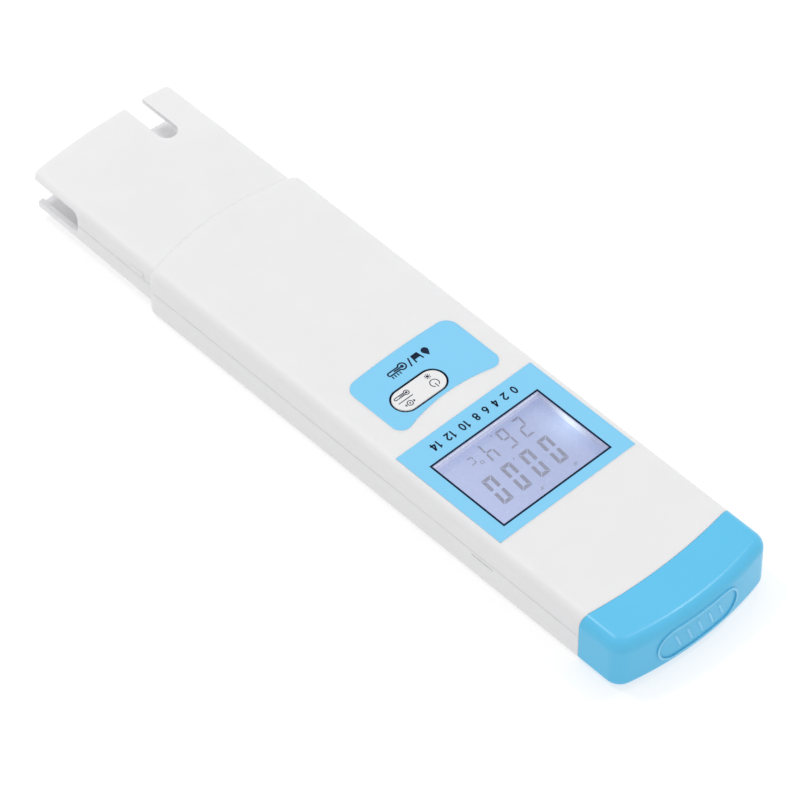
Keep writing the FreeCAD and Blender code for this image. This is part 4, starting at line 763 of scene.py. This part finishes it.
def show_reading(finish, faint):
    """The dark shapes in the glass: the reading, the temperature and two faint marks."""
    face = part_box("lcd_panel")[1].z
    lean = 0.095
    work = Print(face)
    faint_work = Print(face)

    def digit(text, left, low, size):
        shapes = segments(**size)
        for letter in SHOWN[text]:
            work.solid([(left + x + lean * y, low + y) for x, y in shapes[letter]])

    large_left, large_low, large_pitch = -9.0, 35.6, 5.06
    for index in range(4):
        digit("0", large_left + large_pitch * index, large_low, LARGE_DIGIT)
    work.solid(circle((0, large_low + 0.1), 0.2, 12))

    small_low = 28.3
    for text, left in (("2", -8.5), ("6", -4.1), ("4", 0.75)):
        digit(text, left, small_low, SMALL_DIGIT)
    work.solid(circle((-0.85, small_low + 0.1), 0.18, 12))
    degree_ring = circle((5.1, 32.15), 0.38, 20)
    work.stroke(degree_ring, 0.17, closed=True)
    digit("C", 5.7, 29.55, UNIT_LETTER)

    for x in (1.2, -8.0):
        for left, right, low, high in ((-0.55, 0.3, 44.75, 45.0), (-0.2, 0.6, 45.15, 45.35)):
            faint_work.solid([(x + left, low), (x + right, low),
                              (x + right, high), (x + left, high)])
    work.piece("reading", finish, "housing")
    faint_work.piece("faint_marks", faint, "housing")


# ------------------------------------------------------------------ round the key, on the cap
def line_key_gap(finish):
    """Dark liners on both walls of the gap round the key, and the ring printed round it."""
    middle = middle_of("rocker_key")
    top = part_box("keypad_label")[1].z
    thick = 0.07 * MM

    def round_key(out):
        return stadium(middle, KEY_LENGTH + 2 * out, KEY_WIDTH + 2 * out)

    walls = (("key_gap_liner", "housing", KEY_GAP - thick / 2, top - 1.4 * MM, top - 0.05 * MM),
             ("key_skirt", "rocker_key", thick / 2, top - 1.7 * MM, top - 0.22 * MM))
    for name, body, out, floor, roof in walls:
        mesh = bmesh.new()
        line(mesh, round_key(out), thick, floor, roof, closed=True)
        add_piece(name, mesh, finish, body)

    ring = Print(top)
    ring_width = 0.12 * MM
    ring_out = KEY_GAP + 0.05 * MM
    line(ring.mesh, round_key(ring_out), ring_width, ring.low, ring.high, closed=True)
    ring.piece("key_line", finish, "housing")


def face_finder(node):
    """A function that gives the y of a node's +Y end at a place (x, z)."""
    mesh = bmesh.new()
    mesh.from_mesh(nodes[node].data)
    tree = BVHTree.FromBMesh(mesh)
    mesh.free()
    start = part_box(node)[1].y + 5 * MM

    def find(x, z):
        hit = tree.ray_cast(Vector((x, start, z)), Vector((0, -1, 0)))[0]
        return hit.y

    return find


def bead(mesh, path, width, proud, find, closed=False):
    """A rounded bead that follows a face along a path of (x, z), pointed at its open ends."""
    sink = 0.12 * MM
    columns = 8
    narrowest = 0.12
    left, right = sides_of(path, width, closed)
    outer, inner = [], []
    for index, (first, last) in enumerate(zip(left, right)):
        along = 2 * index / (len(path) - 1) - 1
        swell = 1.0 if closed else math.sqrt(max(1 - abs(along) ** 6, 0.0))
        middle = (first + last) / 2
        over, under = [], []
        for column in range(columns + 1):
            share = 2 * column / columns - 1
            x, z = middle + (last - first) / 2 * share * max(swell, narrowest)
            face = find(x, z)
            over.append(mesh.verts.new((x, face + proud * swell * math.sqrt(1 - share ** 2), z)))
            under.append(mesh.verts.new((x, face - sink, z)))
        outer.append(over)
        inner.append(under)
    rows = list(zip(outer, inner))
    pairs = list(zip(rows, rows[1:] + rows[:1])) if closed else list(zip(rows, rows[1:]))
    for (over, under), (next_over, next_under) in pairs:
        for column in range(columns):
            after = column + 1
            mesh.faces.new((over[column], over[after], next_over[after], next_over[column]))
            mesh.faces.new((under[column], next_under[column], next_under[after], under[after]))
        for edge in (0, columns):
            mesh.faces.new((over[edge], next_over[edge], next_under[edge], under[edge]))
    if not closed:
        for over, under in (rows[0], rows[-1]):
            mesh.faces.new(over + under[::-1])


def raise_cap_beads(finish):
    """A bead along the cap's raised ring, and five slanted ribs inside it to pull the cap by,
    both in a paler blue that is painted highlight.
    """
    find = face_finder("battery_cap")
    ring_x, ring_z = 0.9 * MM, 6.1 * MM
    ring_length, ring_width = 22 * MM, 8.4 * MM
    band = 0.6 * MM
    path = stadium((ring_x, ring_z), ring_length - band, ring_width - band, straight=16)
    ring = bmesh.new()
    bead(ring, path, 0.8 * band, 0.07 * MM, find, closed=True)

    count, pitch = 5, 2.9 * MM
    tall, wide, proud = 4.5 * MM, 0.66 * MM, 0.28 * MM
    lean = 0.35
    steps = 14
    rises = [tall * (step / steps - 0.5) for step in range(steps + 1)]
    ribs = bmesh.new()
    for number in range(count):
        middle = ring_x + (number - (count - 1) / 2) * pitch
        bead(ribs, [(middle + lean * rise, ring_z + rise) for rise in rises], wide, proud, find)
    for name, mesh in (("cap_ring_bead", ring), ("cap_grip_ribs", ribs)):
        piece = add_piece(name, mesh, finish, "battery_cap")
        piece.data.shade_smooth()
        piece.data.set_sharp_from_angle(angle=math.radians(50))


# ------------------------------------------------------------------ studio and camera
SURROUND = 0.78
FLOOR_GLOW = 0.62
FLOOR_REACH = 3.0
FLOOR_DROP = 0.1 * MM
# Name, place, width and power of each round light: a wide one, and two small ones that draw
# the bright lines along the rounded edges.
SOFT_LIGHTS = (("overhead", (-0.34, -0.34, 1.20), 0.7, 1.1),
               ("end_line", (-0.61, 0.15, 1.20), 0.16, 2.4),
               ("side_line", (0.20, -0.58, 1.20), 0.16, 3.0))


def make_floor():
    """A pale floor that glows a little, so that hardly any shadow shows on it."""
    pale = display_colour(170, 170, 170)
    ground = Tree("studio_floor", Emission_Color=(1, 1, 1, 1), Emission_Strength=FLOOR_GLOW)
    cloud = ground.ranged(ground.noise(0.2), 0, 1)
    ground.finish(ground.blend(cloud, scaled(pale, 0.995), pale),
                  ground.ranged(cloud, 0.7, 0.75, 0, 1))
    mesh = bmesh.new()
    bmesh.ops.create_grid(mesh, x_segments=8, y_segments=8, size=FLOOR_REACH)
    data = bpy.data.meshes.new("floor")
    mesh.to_mesh(data)
    mesh.free()
    data.materials.append(ground.material)
    floor = bpy.data.objects.new("floor", data)
    floor.location.z = cad_low.z - FLOOR_DROP
    bpy.context.scene.collection.objects.link(floor)


def make_lights():
    """An even pale surround, and the soft lights above."""
    world = bpy.data.worlds.new("studio")
    world.use_nodes = True
    surround = world.node_tree.nodes["Background"]
    surround.inputs["Color"].default_value = (1, 1, 1, 1)
    surround.inputs["Strength"].default_value = SURROUND
    bpy.context.scene.world = world
    for name, place, size, power in SOFT_LIGHTS:
        lamp = bpy.data.lights.new(name, "AREA")
        lamp.shape = "DISK"
        lamp.size = size
        lamp.energy = power
        holder = bpy.data.objects.new(name, lamp)
        holder.location = place
        holder.rotation_mode = "QUATERNION"
        holder.rotation_quaternion = Vector(place).to_track_quat("Z", "Y")
        bpy.context.scene.collection.objects.link(holder)


def make_camera():
    """The camera: the viewing direction, the point it is aimed at, and its lens."""
    azimuth = math.radians(136.62)
    elevation = math.radians(48.68)
    aim = Vector((3.48, 6.73, 6.4)) * MM
    distance = 1042.3 * MM
    back = Vector((math.sin(azimuth) * math.cos(elevation),
                   -math.cos(azimuth) * math.cos(elevation), math.sin(elevation)))
    lens = bpy.data.cameras.new("camera")
    lens.sensor_width = 36
    lens.lens = 234
    lens.clip_start = 0.05
    lens.clip_end = 20
    camera = bpy.data.objects.new("camera", lens)
    camera.location = aim + back * distance
    camera.rotation_mode = "QUATERNION"
    camera.rotation_quaternion = (-back).to_track_quat("-Z", "Y")
    bpy.context.scene.collection.objects.link(camera)
    bpy.context.scene.camera = camera


bpy.context.scene.view_settings.view_transform = "Standard"
make_camera()
make_floor()
make_lights()
finishes = make_finishes()
paint_nodes(finishes)
navy_ink = ink("navy_ink", NAVY)
segment_grey = ink("segment_grey", GREY_SEGMENT)
faint_grey = ink("faint_grey", scaled(GREY_SEGMENT, 1.2))
# A paler copy of the cap's blue: painted highlight on the raised bead and ribs.
ribs_painted_highlight = moulded("blue_plastic_ribs_painted_highlight", RIB_HIGHLIGHT_PAINTED_BLUE, 0.3, relief=0.003 * MM, edge=0.1 * MM,
                    Specular_IOR_Level=0.35)
print_window_line(navy_ink)
print_scale(navy_ink)
print_modes(navy_ink)
print_key(navy_ink)
show_reading(segment_grey, faint_grey)
line_key_gap(navy_ink)
raise_cap_beads(ribs_painted_highlight)
